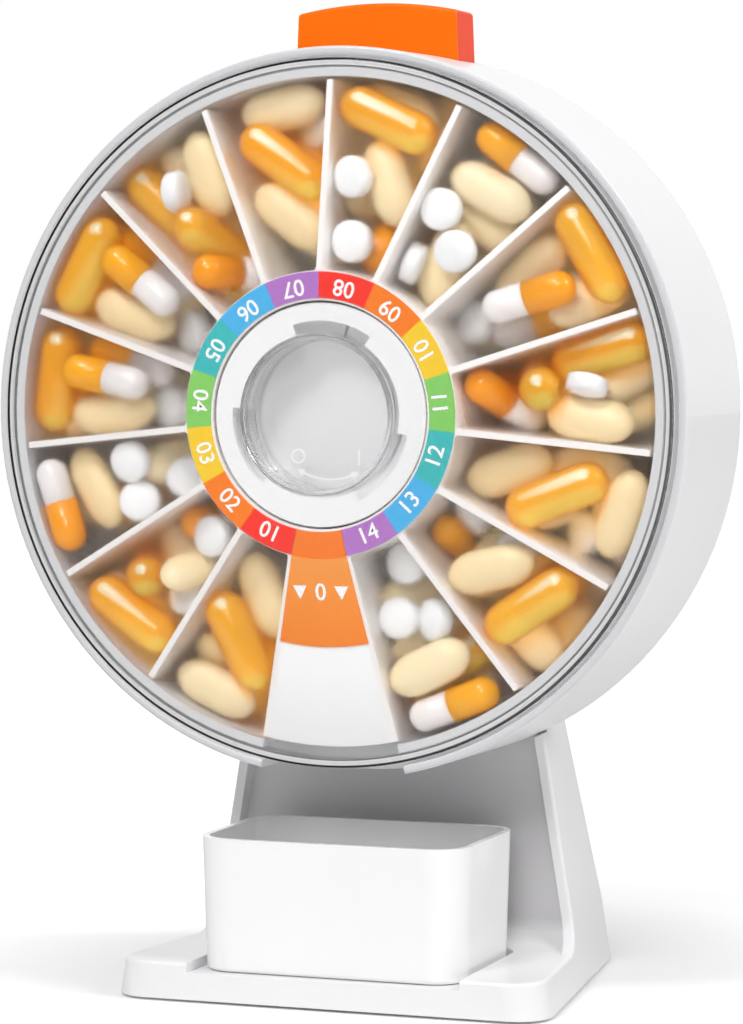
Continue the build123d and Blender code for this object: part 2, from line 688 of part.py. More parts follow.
with BuildPart() as pill_wheel:
    blank = outline(
        radial(0),
        (HUB_RADIUS - HUB_WALL, HUB_FRONT),
        (HUB_RADIUS, HUB_FRONT),
        (WHEEL_RADIUS, RIM_FRONT),
        (WHEEL_RADIUS, WHEEL_BACK),
        (HUB_RADIUS - HUB_WALL, WHEEL_BACK),
    )
    revolve(blank, axis=WHEEL_AXIS)
    with BuildSketch(facing(WHEEL_FLOOR)):
        with Locations(*[Location((0, 0, 0), (0, 0, angle)) for angle in CELL_ANGLES]):
            add(cell.sketch)
    extrude(amount=WHEEL_FLOOR - HUB_FRONT + 1, mode=Mode.SUBTRACT)
    core_half = half_cell - degrees(DIVIDER / HUB_RADIUS) / 2
    core_outer = WHEEL_RADIUS - START_SKIN
    core = outline(
        radial(START_ANGLE - core_half),
        (HUB_RADIUS, HUB_FRONT + START_SKIN),
        (core_outer, cone_depth(core_outer) + START_SKIN),
        (core_outer, WHEEL_BACK + 1),
        (HUB_RADIUS, WHEEL_BACK + 1),
    )
    revolve(core, axis=WHEEL_AXIS, revolution_arc=2 * core_half, mode=Mode.SUBTRACT)
    hub = outline(
        radial(0),
        (HUB_BORE, HUB_FRONT),
        (HUB_RADIUS - HUB_WALL / 2, HUB_FRONT),
        (HUB_RADIUS - HUB_WALL / 2, HUB_FRONT + HUB_WALL),
        (HUB_BORE + HUB_WALL, HUB_FRONT + HUB_WALL),
        (HUB_BORE + HUB_WALL, WEB_FRONT + WEB),
        (TAIL_RADIUS, WEB_FRONT + WEB),
        (TAIL_RADIUS, TAIL_END),
        (TAIL_RADIUS - TAIL_WALL, TAIL_END),
        (TAIL_RADIUS - TAIL_WALL, WEB_FRONT + WEB),
        (BORE_RADIUS + BEARING_WALL, WEB_FRONT + WEB),
        (BORE_RADIUS + BEARING_WALL, TAIL_END),
        (BORE_RADIUS, TAIL_END),
        (BORE_RADIUS, WEB_FRONT),
        (HUB_BORE, WEB_FRONT),
    )
    revolve(hub, axis=WHEEL_AXIS)
    gear_bosses = discs(facing(TAIL_END), TAIL_WALL * 1.3, places(GEAR_SCREWS_AT))
    extrude(gear_bosses, amount=TAIL_END - WEB_FRONT - WEB)
    extrude(
        discs(facing(TAIL_END), SCREW_RADIUS, places(GEAR_SCREWS_AT)),
        amount=SCREW_LENGTH - GEAR + HEAD_POCKET,
        mode=Mode.SUBTRACT,
    )
    for angle in DIVIDER_ANGLES:
        extrude(blade(angle), amount=DIVIDER, both=True, mode=Mode.SUBTRACT)

# Walls between the compartments, cemented to the floor and to the roots on the hub.
with BuildPart() as wheel_dividers:
    for angle in DIVIDER_ANGLES:
        extrude(blade(angle), amount=DIVIDER / 2, both=True)

# ------------------------------------------------------------------ labels on the wheel
with BuildPart() as label_ring:
    ring = sector(
        facing(HUB_FRONT), LABEL_INNER, LABEL_OUTER, START_ANGLE + 180, 180 - half_cell
    )
    extrude(ring, amount=LABEL)

with BuildPart() as start_label:
    band = outline(
        radial(START_ANGLE - START_LABEL_HALF_ANGLE),
        (LABEL_INNER, HUB_FRONT),
        (HUB_RADIUS, HUB_FRONT),
        (START_LABEL_OUTER, cone_depth(START_LABEL_OUTER)),
        (START_LABEL_OUTER, cone_depth(START_LABEL_OUTER) - LABEL),
        (HUB_RADIUS, HUB_FRONT - LABEL),
        (LABEL_INNER, HUB_FRONT - LABEL),
    )
    revolve(band, axis=WHEEL_AXIS, revolution_arc=2 * START_LABEL_HALF_ANGLE)

# ------------------------------------------------------------------ ratchet gear
# One tooth for each sector. Every tooth has a radial face that looks against the direction
# of rotation, and its back falls off to the root of the next face.
with BuildPart() as ratchet_gear:
    teeth = []
    for tooth in range(SECTORS):
        face = TOOTH_FACE_ANGLE + PITCH * tooth
        teeth.append(at(GEAR_ROOT, face))
        teeth.append(at(GEAR_TIP, face))
    extrude(outline(facing(GEAR_BACK), *teeth), amount=GEAR)
    with BuildSketch(facing(GEAR_BACK)):
        Circle(GEAR_BORE)
        with Locations(*places(GEAR_SCREWS_AT)):
            Circle(SCREW_HOLE)
    extrude(amount=GEAR, mode=Mode.SUBTRACT)
    extrude(
        discs(facing(GEAR_BACK), SCREW_HEAD_RADIUS + HEAD_CLEARANCE, places(GEAR_SCREWS_AT)),
        amount=HEAD_POCKET,
        mode=Mode.SUBTRACT,
    )

# ------------------------------------------------------------------ push button
# Hollow cap with a curved top, concentric with the drum. Its side flanges stop it inside
# the drum, and two bosses take the screws of the yoke.
with BuildPart() as push_button:
    top_half_width = BUTTON_HALF_WIDTH - BUTTON_RISE * sin(radians(BUTTON_DRAFT))
    top_corner = sqrt(BUTTON_TOP_RADIUS**2 - top_half_width**2)
    with BuildSketch(facing(BUTTON_BACK)):
        with BuildLine():
            Polyline(
                (-top_half_width, top_corner),
                (-BUTTON_HALF_WIDTH, BUTTON_SLOT_TOP),
                (-BUTTON_HALF_WIDTH, BUTTON_BOTTOM),
                (BUTTON_HALF_WIDTH, BUTTON_BOTTOM),
                (BUTTON_HALF_WIDTH, BUTTON_SLOT_TOP),
                (top_half_width, top_corner),
            )
            ThreePointArc(
                (top_half_width, top_corner), (0, BUTTON_TOP_RADIUS), (-top_half_width, top_corner)
            )
        make_face()
    extrude(amount=BUTTON_DEPTH)
    fillet(push_button.faces().sort_by(Axis.Z)[-1].edges(), BUTTON_EDGE)
    flange = box(
        facing(BUTTON_BACK),
        -BUTTON_HALF_WIDTH - FLANGE_WIDTH,
        BUTTON_BOTTOM,
        BUTTON_HALF_WIDTH + FLANGE_WIDTH,
        BUTTON_BOTTOM + FLANGE_HEIGHT,
    )
    extrude(flange, amount=BUTTON_DEPTH)
    hollow_width = BUTTON_HALF_WIDTH - BUTTON_WALL
    hollow_radius = BUTTON_TOP_RADIUS - BUTTON_WALL
    hollow_corner = sqrt(hollow_radius**2 - hollow_width**2)
    with BuildSketch(facing(BUTTON_BACK - BUTTON_WALL)):
        with BuildLine():
            Line((-hollow_width, hollow_corner), (-hollow_width, BUTTON_BOTTOM))
            Line((-hollow_width, BUTTON_BOTTOM), (hollow_width, BUTTON_BOTTOM))
            Line((hollow_width, BUTTON_BOTTOM), (hollow_width, hollow_corner))
            ThreePointArc(
                (hollow_width, hollow_corner), (0, hollow_radius), (-hollow_width, hollow_corner)
            )
        make_face()
    extrude(amount=BUTTON_DEPTH - 2 * BUTTON_WALL, mode=Mode.SUBTRACT)
    button_screws = [(-BUTTON_SCREW_X, BUTTON_MIDDLE), (BUTTON_SCREW_X, BUTTON_MIDDLE)]
    extrude(
        discs(level(AXIS_HEIGHT + BUTTON_BOTTOM), BUTTON_BOSS_RADIUS, button_screws),
        amount=hollow_corner - BUTTON_BOTTOM + BUTTON_WALL / 2,
    )
    extrude(
        discs(level(AXIS_HEIGHT + BUTTON_BOTTOM), SCREW_RADIUS, button_screws),
        amount=SCREW_LENGTH - YOKE_PAD,
        mode=Mode.SUBTRACT,
    )

# ------------------------------------------------------------------ yoke
# Frame below the button. Two arms run down in the rails, the left one carries the pawl,
# and two pads stand on the return springs.
with BuildPart() as yoke:
    pad_bottom = BUTTON_BOTTOM - YOKE_PAD
    arm_bottom = PAWL_Z - PAWL_EYE - 1
    head_pad = box(
        facing(BUTTON_BACK - BUTTON_WALL / 2),
        -YOKE_PAD_HALF_WIDTH,
        pad_bottom,
        YOKE_PAD_HALF_WIDTH,
        BUTTON_BOTTOM,
    )
    extrude(head_pad, amount=BUTTON_DEPTH - BUTTON_WALL)
    neck = box(
        facing(YOKE_BACK), -YOKE_NECK_HALF_WIDTH, YOKE_BAR_TOP, YOKE_NECK_HALF_WIDTH, pad_bottom
    )
    extrude(neck, amount=YOKE)
    bar = box(facing(YOKE_BACK), -YOKE_ARM_OUTER, YOKE_BAR_BOTTOM, YOKE_ARM_OUTER, YOKE_BAR_TOP)
    extrude(bar, amount=YOKE)
    for side in (-1, 1):
        near = side * YOKE_ARM_INNER
        far = side * YOKE_ARM_OUTER
        arm = box(facing(YOKE_BACK), min(near, far), arm_bottom, max(near, far), YOKE_BAR_BOTTOM)
        extrude(arm, amount=YOKE)
        spring_pad = box(
            facing(SHELF_BACK),
            side * SPRING_X - SPRING_PAD_HALF_WIDTH,
            YOKE_BAR_BOTTOM,
            side * SPRING_X + SPRING_PAD_HALF_WIDTH,
            YOKE_BAR_BOTTOM + SPRING_PAD,
        )
        extrude(spring_pad, amount=2 * (SHELF_BACK - BUTTON_MIDDLE))
    stub_x = PAWL_X + FINGER_X + FINGER / 2 + PAWL_GAP + STUB_RADIUS
    stub = discs(facing(YOKE_FRONT), STUB_RADIUS, [(stub_x, PAWL_Z + TAIL_HEIGHT - 1)])
    extrude(stub, amount=YOKE_FRONT - PAWL_FRONT)
    extrude(
        discs(facing(YOKE_BACK), PIN_RADIUS, [(PAWL_X, PAWL_Z)]),
        amount=YOKE,
        mode=Mode.SUBTRACT,
    )
    extrude(
        discs(level(AXIS_HEIGHT + pad_bottom), SCREW_HOLE, button_screws),
        amount=YOKE_PAD,
        mode=Mode.SUBTRACT,
    )

# Pin on which the pawl swings, pressed into the yoke.
with BuildPart() as pawl_pin:
    pin_front = PAWL_FRONT - PAWL_GAP
    extrude(discs(facing(YOKE_BACK), PIN_RADIUS, [(PAWL_X, PAWL_Z)]), amount=YOKE_BACK - pin_front)
    extrude(discs(facing(pin_front), PIN_HEAD_RADIUS, [(PAWL_X, PAWL_Z)]), amount=PIN_HEAD)

# ------------------------------------------------------------------ drive pawl
# The pawl hangs on the yoke. Its outline is laid out where it ends up, at the bottom of the
# stroke with the nose on a tooth face, and is then swung back and lifted to its rest.
with BuildPart() as drive_pawl:
    end_z = PAWL_Z - BUTTON_TRAVEL
    end_face = TOOTH_FACE_ANGLE + PITCH
    nose_tip = at(NOSE_RADIUS, end_face - degrees(PAWL_GAP / NOSE_RADIUS))
    nose_heel = at(NOSE_RADIUS + NOSE_LENGTH, end_face - degrees(PAWL_GAP / NOSE_RADIUS))
    nose_crest = at(GEAR_TIP + 2 * PAWL_GAP, end_face - PITCH / 2 - 1)
    arm_x = PAWL_X - (nose_crest[0] + nose_heel[0]) / 2
    arm_z = end_z - (nose_crest[1] + nose_heel[1]) / 2
    arm_length = hypot(arm_x, arm_z)
    across = (-arm_z / arm_length * PAWL_EYE, arm_x / arm_length * PAWL_EYE)
    engaged = Plane(
        facing(PAWL_BACK).from_local_coords((PAWL_X, PAWL_Z, 0)),
        x_dir=(cos(radians(PAWL_SWING)), 0, -sin(radians(PAWL_SWING))),
        z_dir=(0, -1, 0),
    )
    with BuildSketch(engaged):
        with BuildLine():
            Polyline(
                (nose_tip[0] - PAWL_X, nose_tip[1] - end_z),
                (nose_heel[0] - PAWL_X, nose_heel[1] - end_z),
                across,
                (-across[0], -across[1]),
                (nose_crest[0] - PAWL_X, nose_crest[1] - end_z),
                close=True,
            )
        make_face()
        Circle(PAWL_EYE)
    extrude(amount=PAWL)
    upright = box(
        facing(PAWL_BACK),
        PAWL_X - TAIL_HALF_WIDTH,
        PAWL_Z,
        PAWL_X + TAIL_HALF_WIDTH,
        PAWL_Z + TAIL_HEIGHT,
    )
    extrude(upright, amount=PAWL)
    finger = box(
        facing(PAWL_BACK),
        PAWL_X + FINGER_X - FINGER / 2,
        PAWL_Z,
        PAWL_X + FINGER_X + FINGER / 2,
        PAWL_Z + TAIL_HEIGHT + 1,
    )
    extrude(finger, amount=PAWL)
    extrude(
        discs(facing(PAWL_BACK), PIN_RADIUS + PIN_CLEARANCE, [(PAWL_X, PAWL_Z)]),
        amount=PAWL,
        mode=Mode.SUBTRACT,
    )

# ------------------------------------------------------------------ detent leaf
# Strip of spring steel held in a slit. Its tip stands under a tooth face and stops the
# wheel from turning back.
with BuildPart() as detent_leaf:
    half = LEAF / 2
    strip = outline(
        facing(PAWL_BACK),
        (LEAF_TIP[0] - half, LEAF_TIP[1]),
        (LEAF_TIP[0] + half, LEAF_TIP[1]),
        (LEAF_BEND[0] + half, LEAF_BEND[1]),
        (LEAF_BEND[0] + half, LEAF_FOOT),
        (LEAF_BEND[0] - half, LEAF_FOOT),
        (LEAF_BEND[0] - half, LEAF_BEND[1]),
    )
    extrude(strip, amount=PAWL)

# ------------------------------------------------------------------ return springs
SPRING_BASE = AXIS_HEIGHT + SHELF_TOP + SPRING_WIRE / 2 + SPRING_END_GAP
SPRING_HEIGHT = YOKE_BAR_BOTTOM - SHELF_TOP - SPRING_WIRE - 2 * SPRING_END_GAP
with BuildPart() as return_spring_left:
    with BuildLine() as left_coil:
        Helix(
            SPRING_HEIGHT / SPRING_TURNS,
            SPRING_HEIGHT,
            SPRING_RADIUS,
            center=(-SPRING_X, BUTTON_MIDDLE - DEPTH_MIDDLE, SPRING_BASE),
        )
    with BuildSketch(Plane(origin=left_coil.line @ 0, z_dir=left_coil.line % 0)):
        Circle(SPRING_WIRE / 2)
    sweep(path=left_coil.line, is_frenet=True)

with BuildPart() as return_spring_right:
    with BuildLine() as right_coil:
        Helix(
            SPRING_HEIGHT / SPRING_TURNS,
            SPRING_HEIGHT,
            SPRING_RADIUS,
            center=(SPRING_X, BUTTON_MIDDLE - DEPTH_MIDDLE, SPRING_BASE),
        )
    with BuildSketch(Plane(origin=right_coil.line @ 0, z_dir=right_coil.line % 0)):
        Circle(SPRING_WIRE / 2)
    sweep(path=right_coil.line, is_frenet=True)

# ------------------------------------------------------------------ front cover
# Clear, slightly conical lens with a step around its bore for the rim of the knob.
SKIRT_FRONT = cone_depth(SKIRT_INNER) - COVER_AIR
with BuildPart() as clear_cover:
    inner_front = HUB_FRONT - COVER_AIR
    lens = outline(
        radial(0),
        (COVER_BORE, inner_front),
        (HUB_RADIUS, inner_front),
        (SKIRT_INNER, SKIRT_FRONT),
        (SKIRT_OUTER, SKIRT_FRONT),
        (SKIRT_OUTER, cone_depth(SKIRT_OUTER) - COVER_AIR - COVER),
        (HUB_RADIUS, COVER_FRONT),
        (KNOB_RIM + KNOB_CLEARANCE, COVER_FRONT),
        (KNOB_RIM + KNOB_CLEARANCE, COVER_FRONT + RIM_SEAT),
        (COVER_BORE, COVER_FRONT + RIM_SEAT),
    )
    revolve(lens, axis=WHEEL_AXIS)
    rim_edge = clear_cover.edges().filter_by(GeomType.CIRCLE).filter_by(
        lambda edge: edge.radius > SKIRT_OUTER - 0.01
    )
    fillet(rim_edge.sort_by(Axis.Y)[0], COVER_EDGE)

# Clear ring cemented behind the lens, which stands in the groove of the drum.
with BuildPart() as cover_skirt:
    with BuildSketch(facing(SKIRT_END)):
        Circle(SKIRT_OUTER)
        Circle(SKIRT_INNER, mode=Mode.SUBTRACT)
    extrude(amount=SKIRT_END - SKIRT_FRONT)

# ------------------------------------------------------------------ lock knob
# Clear cup that turns in the cover, with grip ribs on the inside of its wall.
with BuildPart() as lock_knob:
    rim_back = COVER_FRONT + RIM_SEAT - KNOB_CLEARANCE / 4
    floor_front = KNOB_FLOOR_BACK - KNOB_FLOOR
    cup = outline(
        radial(0),
        (0, floor_front),
        (KNOB_RADIUS - KNOB_WALL, floor_front),
        (KNOB_RADIUS - KNOB_WALL, COVER_FRONT),
        (KNOB_RIM, COVER_FRONT),
        (KNOB_RIM, rim_back),
        (KNOB_RADIUS, rim_back),
        (KNOB_RADIUS, KNOB_FLOOR_BACK),
        (0, KNOB_FLOOR_BACK),
    )
    revolve(cup, axis=WHEEL_AXIS)

# Sleeve behind the cover that holds the knob. Its three lugs pass the slots of the lock
# ring and grip behind it when the knob is turned.
with BuildPart() as knob_lugs:
    sleeve_front = HUB_FRONT - COVER_AIR + KNOB_CLEARANCE
    with BuildSketch(facing(LUG_FRONT + LUG)):
        Circle(LUG_SLEEVE)
        Circle(KNOB_RADIUS, mode=Mode.SUBTRACT)
    extrude(amount=LUG_FRONT + LUG - sleeve_front)
    for centre in LUG_CENTRES:
        lug = sector(
            facing(LUG_FRONT + LUG),
            (KNOB_RADIUS + LUG_SLEEVE) / 2,
            LUG_RADIUS,
            centre,
            LUG_HALF_ANGLE,
        )
        extrude(lug, amount=LUG)


# ------------------------------------------------------------------ stand
def half_width(depth, height, inset):
    """Half the stand's width at a depth and a height, less an inset."""
    return FOOT_HALF_WIDTH - FOOT_TAPER * (depth - FOOT_FRONT) - SIDE_LEAN * height - inset


def between_sides(profile, inset):
    """Side profile filled out to the stand's leaning side faces, moved in by an inset."""
    front = FOOT_FRONT - OVERSHOOT
    back = FOOT_BACK + OVERSHOOT
    with BuildPart() as filled:
        for height in (-OVERSHOOT, COLUMN_TOP + OVERSHOOT):
            with BuildSketch(level(height)):
                with BuildLine():
                    Polyline(
                        (-half_width(front, height, inset), front),
                        (half_width(front, height, inset), front),
                        (half_width(back, height, inset), back),
                        (-half_width(back, height, inset), back),
                        close=True,
                    )
                make_face()
        loft()
        extrude(profile, amount=2 * FOOT_HALF_WIDTH, both=True, mode=Mode.INTERSECT)
    return filled.part


def side_profile(inner_corner, radius, *points):
    """Outline of depth and height with one inner corner rounded."""
    with BuildSketch(SIDE) as flat:
        with BuildLine():
            Polyline(*points, close=True)
        make_face()
        fillet(flat.vertices().sort_by_distance(inner_corner)[0], radius)
    return flat.sketch


# Foot and column in one moulding, open below. A panel stands back between the column's
# two side flanges, and the foot has a shallow recess for the tray.
outer_profile = side_profile(
    (COLUMN_FRONT, FOOT_TOP),
    PANEL_FILLET,
    (FOOT_FRONT, FOOT_UNDERSIDE),
    (FOOT_FRONT, FOOT_TOP),
    (COLUMN_FRONT, FOOT_TOP),
    (COLUMN_FRONT, COLUMN_TOP),
    (COLUMN_BACK_TOP, COLUMN_TOP),
    COLUMN_BACK[1],
    COLUMN_BACK[0],
    (FOOT_BACK, FOOT_BACK_KNEE),
    (FOOT_BACK, FOOT_UNDERSIDE),
)
panel_profile = side_profile(
    (PANEL_FRONT, FOOT_TOP),
    PANEL_FILLET,
    (FOOT_FRONT - OVERSHOOT, FOOT_TOP),
    (PANEL_FRONT, FOOT_TOP),
    (PANEL_FRONT, COLUMN_TOP + OVERSHOOT),
    (FOOT_FRONT - OVERSHOOT, COLUMN_TOP + OVERSHOOT),
)
cavity_profile = side_profile(
    (PANEL_BACK, CAVITY_TOP),
    STAND_WALL,
    (FOOT_FRONT + STAND_WALL, FOOT_UNDERSIDE - 1),
    (FOOT_FRONT + STAND_WALL, CAVITY_TOP),
    (PANEL_BACK, CAVITY_TOP),
    (PANEL_BACK, COLUMN_TOP - STAND_WALL),
    (COLUMN_BACK_TOP - STAND_WALL, COLUMN_TOP - STAND_WALL),
    (COLUMN_BACK[1][0] - STAND_WALL, COLUMN_BACK[1][1]),
    (COLUMN_BACK[0][0] - STAND_WALL, COLUMN_BACK[0][1]),
    (FOOT_BACK - STAND_WALL, FOOT_BACK_KNEE),
    (FOOT_BACK - STAND_WALL, FOOT_UNDERSIDE - 1),
)
PLATE_TOP = FOOT_UNDERSIDE + BASE_PLATE
plate_profile = outline(
    SIDE,
    (FOOT_FRONT + STAND_WALL + BASE_PLATE_GAP, FOOT_UNDERSIDE),
    (FOOT_BACK - STAND_WALL - BASE_PLATE_GAP, FOOT_UNDERSIDE),
    (FOOT_BACK - STAND_WALL - BASE_PLATE_GAP, PLATE_TOP),
    (FOOT_FRONT + STAND_WALL + BASE_PLATE_GAP, PLATE_TOP),
)

# Hollow of the stand, less the tubes around the column screws and the bosses of the foot.
with BuildPart() as stand_hollow:
    add(between_sides(cavity_profile, STAND_WALL))
    hollow_corners = stand_hollow.edges().filter_by(
        lambda edge: abs(edge.center().Y + DEPTH_MIDDLE - FOOT_FRONT - STAND_WALL) < 0.1
        and abs(edge.center().X) > half_width(FOOT_FRONT, FOOT_TOP, 2 * STAND_WALL)
    )
    fillet(hollow_corners, FOOT_CORNER - STAND_WALL)
    extrude(
        discs(facing(FOOT_BACK), ACCESS_TUBE, COLUMN_SCREWS),
        amount=FOOT_BACK - PANEL_BACK,
        mode=Mode.SUBTRACT,
    )
    extrude(
        discs(level(PLATE_TOP), FOOT_BOSS_RADIUS, FOOT_SCREWS),
        amount=FOOT_BOSS_TOP - PLATE_TOP,
        mode=Mode.SUBTRACT,
    )

with BuildPart() as base_stand:
    add(between_sides(outer_profile, 0))
    foot_corners = base_stand.edges().filter_by(
        lambda edge: abs(edge.center().Y + DEPTH_MIDDLE - FOOT_FRONT) < 0.1
        and abs(edge.center().X) > half_width(FOOT_FRONT, FOOT_TOP, STAND_WALL)
    )
    fillet(foot_corners, FOOT_CORNER)
    back_edges = base_stand.edges().filter_by(
        lambda edge: edge.center().Y + DEPTH_MIDDLE > PANEL_FRONT
        and abs(edge.tangent_at(0.5).X) < 0.5
        and edge.center().Z > FOOT_UNDERSIDE + 1
        and edge.center().Z < COLUMN_TOP - 1
    )
    fillet(back_edges, COLUMN_EDGE)
    top_face = base_stand.faces().filter_by(Plane.XY).filter_by(
        lambda face: abs(face.center().Z - FOOT_TOP) < 0.01
    )
    rim = top_face.edges().sort_by(Axis.Y)[:-1]
    fillet(rim, FOOT_EDGE)
    add(between_sides(panel_profile, FLANGE), mode=Mode.SUBTRACT)
    add(stand_hollow.part, mode=Mode.SUBTRACT)
    with BuildSketch(level(RECESS_FLOOR)) as recess:
        with Locations((0, (RECESS_BACK + FOOT_FRONT) / 2)):
            Rectangle(2 * RECESS_HALF_WIDTH, RECESS_BACK - FOOT_FRONT)
        fillet(recess.vertices().sort_by(Axis.Y)[2:], RECESS_CORNER)
        with Locations((0, FOOT_FRONT)):
            Rectangle(2 * RECESS_HALF_WIDTH, 2 * RECESS_CORNER)
    extrude(amount=TRAY_HEIGHT, mode=Mode.SUBTRACT)
    with BuildSketch(facing(PANEL_FRONT)):
        Circle(DRUM_RADIUS + DRUM_FLARE + DRUM_SEAT_GAP)
    extrude(amount=PANEL_FRONT - FOOT_FRONT, mode=Mode.SUBTRACT)
    extrude(
        discs(facing(FOOT_BACK), ACCESS_BORE, COLUMN_SCREWS),
        amount=FOOT_BACK - PANEL_BACK,
        mode=Mode.SUBTRACT,
    )
    extrude(
        discs(facing(PANEL_BACK), SCREW_HOLE, COLUMN_SCREWS),
        amount=PANEL,
        mode=Mode.SUBTRACT,
    )
    extrude(
        discs(level(PLATE_TOP), SCREW_RADIUS, FOOT_SCREWS),
        amount=FOOT_SCREW_LENGTH + HEAD_POCKET - BASE_PLATE,
        mode=Mode.SUBTRACT,
    )

# Plate that closes the stand below, with pockets for its screws and for the pads.
with BuildPart() as base_plate:
    add(between_sides(plate_profile, STAND_WALL + BASE_PLATE_GAP))
    plate_corners = base_plate.edges().filter_by(
        lambda edge: edge.center().Y + DEPTH_MIDDLE < 0 and abs(edge.tangent_at(0.5).Z) > 0.5
    )
    fillet(plate_corners, FOOT_CORNER - STAND_WALL)
    extrude(
        discs(level(FOOT_UNDERSIDE), SCREW_HOLE, FOOT_SCREWS),
        amount=BASE_PLATE,
        mode=Mode.SUBTRACT,
    )
    extrude(
        discs(level(FOOT_UNDERSIDE), SCREW_HEAD_RADIUS + HEAD_CLEARANCE, FOOT_SCREWS),
        amount=HEAD_POCKET,
        mode=Mode.SUBTRACT,
    )
    extrude(discs(level(0), PAD_RADIUS, PADS), amount=PAD, mode=Mode.SUBTRACT)

with BuildPart() as rubber_pads:
    extrude(discs(level(0), PAD_RADIUS, PADS), amount=PAD)

# ------------------------------------------------------------------ tray
TRAY_TOP = RECESS_FLOOR + TRAY_GAP + TRAY_HEIGHT
TRAY_MIDDLE = (TRAY_FRONT + TRAY_BACK) / 2
with BuildPart() as tray_hollow:
    with BuildSketch(level(TRAY_TOP)):
        with Locations((0, TRAY_MIDDLE)):
            RectangleRounded(
                2 * (TRAY_HALF_WIDTH - TRAY_WALL),
                TRAY_BACK - TRAY_FRONT - 2 * TRAY_WALL,
                TRAY_CORNER - TRAY_WALL,
            )
    extrude(amount=-(TRAY_HEIGHT - TRAY_WALL), taper=TRAY_DRAFT)
    fillet(tray_hollow.faces().sort_by(Axis.Z)[0].edges(), TRAY_FOOT_ROUNDING)

# Open cup with drawn walls that stands in the recess of the foot.
with BuildPart() as pill_tray:
    with BuildSketch(level(TRAY_TOP)):
        with Locations((0, TRAY_MIDDLE)):
            RectangleRounded(2 * TRAY_HALF_WIDTH, TRAY_BACK - TRAY_FRONT, TRAY_CORNER)
    extrude(amount=-TRAY_HEIGHT, taper=TRAY_DRAFT)
    fillet(pill_tray.faces().sort_by(Axis.Z)[0].edges(), TRAY_FOOT_ROUNDING)
    add(tray_hollow.part, mode=Mode.SUBTRACT)

# ------------------------------------------------------------------ screws
case_screw = screw(SCREW_LENGTH)
foot_screw = screw(FOOT_SCREW_LENGTH)

with BuildPart(facing(PLATE_BACK)) as chassis_screws:
    with Locations(*places(CASE_SCREWS_AT)):
        add(case_screw)

with BuildPart(facing(REAR_COVER_FRONT)) as rear_cover_screws:
    with Locations(*places(PILLARS_AT)):
        add(case_screw)

with BuildPart(facing(GEAR_BACK - HEAD_POCKET)) as gear_screws:
    with Locations(*places(GEAR_SCREWS_AT)):
        add(case_screw)

with BuildPart(facing(PANEL_BACK)) as column_screws:
    with Locations(*COLUMN_SCREWS):
        add(case_screw)

with BuildPart(level(AXIS_HEIGHT + BUTTON_BOTTOM - YOKE_PAD)) as yoke_screws:
    with Locations(*button_screws):
        add(case_screw)

with BuildPart(level(FOOT_UNDERSIDE + HEAD_POCKET)) as base_screws:
    with Locations(*FOOT_SCREWS):
        add(foot_screw)

# ------------------------------------------------------------------ files
pieces = {
    "base_stand": base_stand,
    "base_plate": base_plate,
    "base_screws": base_screws,
    "rubber_pads": rubber_pads,
    "column_screws": column_screws,
    "drum_housing": drum_housing,
    "guard_ring": guard_ring,
    "chassis_plate": chassis_plate,
    "chassis_screws": chassis_screws,
    "rear_cover": rear_cover,
    "rear_cover_screws": rear_cover_screws,
    "hub_post": hub_post,
    "lock_ring": lock_ring,
    "thrust_washer": thrust_washer,
    "spindle_screw": spindle_screw,
    "detent_leaf": detent_leaf,
    "pill_wheel": pill_wheel,
    "wheel_dividers": wheel_dividers,
    "label_ring": label_ring,
    "start_label": start_label,
    "ratchet_gear": ratchet_gear,
    "gear_screws": gear_screws,
    "push_button": push_button,
    "yoke": yoke,
    "yoke_screws": yoke_screws,
    "pawl_pin": pawl_pin,
    "return_spring_left": return_spring_left,
    "return_spring_right": return_spring_right,
    "drive_pawl": drive_pawl,
    "clear_cover": clear_cover,
    "cover_skirt": cover_skirt,
    "lock_knob": lock_knob,
    "knob_lugs": knob_lugs,
    "pill_tray": pill_tray,
}
for name, piece in pieces.items():
    piece.part.label = name
    export_step(piece.part, "parts/" + name + ".step")
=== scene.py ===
import math
import random

import bpy
import numpy as np
from mathutils import Matrix, Vector


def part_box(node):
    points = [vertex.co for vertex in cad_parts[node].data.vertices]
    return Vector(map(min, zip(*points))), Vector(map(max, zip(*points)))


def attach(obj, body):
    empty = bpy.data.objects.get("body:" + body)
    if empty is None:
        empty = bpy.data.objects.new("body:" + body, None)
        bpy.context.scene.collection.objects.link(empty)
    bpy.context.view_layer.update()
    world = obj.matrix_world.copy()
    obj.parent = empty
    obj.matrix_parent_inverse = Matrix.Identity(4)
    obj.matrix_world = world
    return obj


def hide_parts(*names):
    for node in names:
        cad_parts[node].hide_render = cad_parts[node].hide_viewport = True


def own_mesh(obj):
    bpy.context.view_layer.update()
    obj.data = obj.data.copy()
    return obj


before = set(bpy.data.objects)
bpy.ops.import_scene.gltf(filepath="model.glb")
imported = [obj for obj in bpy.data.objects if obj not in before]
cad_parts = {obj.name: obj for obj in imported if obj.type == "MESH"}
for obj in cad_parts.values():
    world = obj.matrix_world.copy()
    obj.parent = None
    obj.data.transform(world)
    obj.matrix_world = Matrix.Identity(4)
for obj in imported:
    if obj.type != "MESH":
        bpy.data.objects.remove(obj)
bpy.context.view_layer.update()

# ---------------------------------------------------------------- Camera
# Long lens at the height of the drum, to the right of it, so that the drum's side wall and
# the stand's right flange show.
camera = bpy.data.objects.new("camera", bpy.data.cameras.new("camera"))
camera.data.sensor_width = 36
camera.data.lens = 131.23
camera.location = (0.2869, -0.7976, 0.1526)
camera.rotation_euler = (math.radians(86.93), 0, math.radians(20.02))
bpy.context.scene.collection.objects.link(camera)
bpy.context.scene.camera = camera
bpy.context.scene.view_settings.view_transform = "Standard"


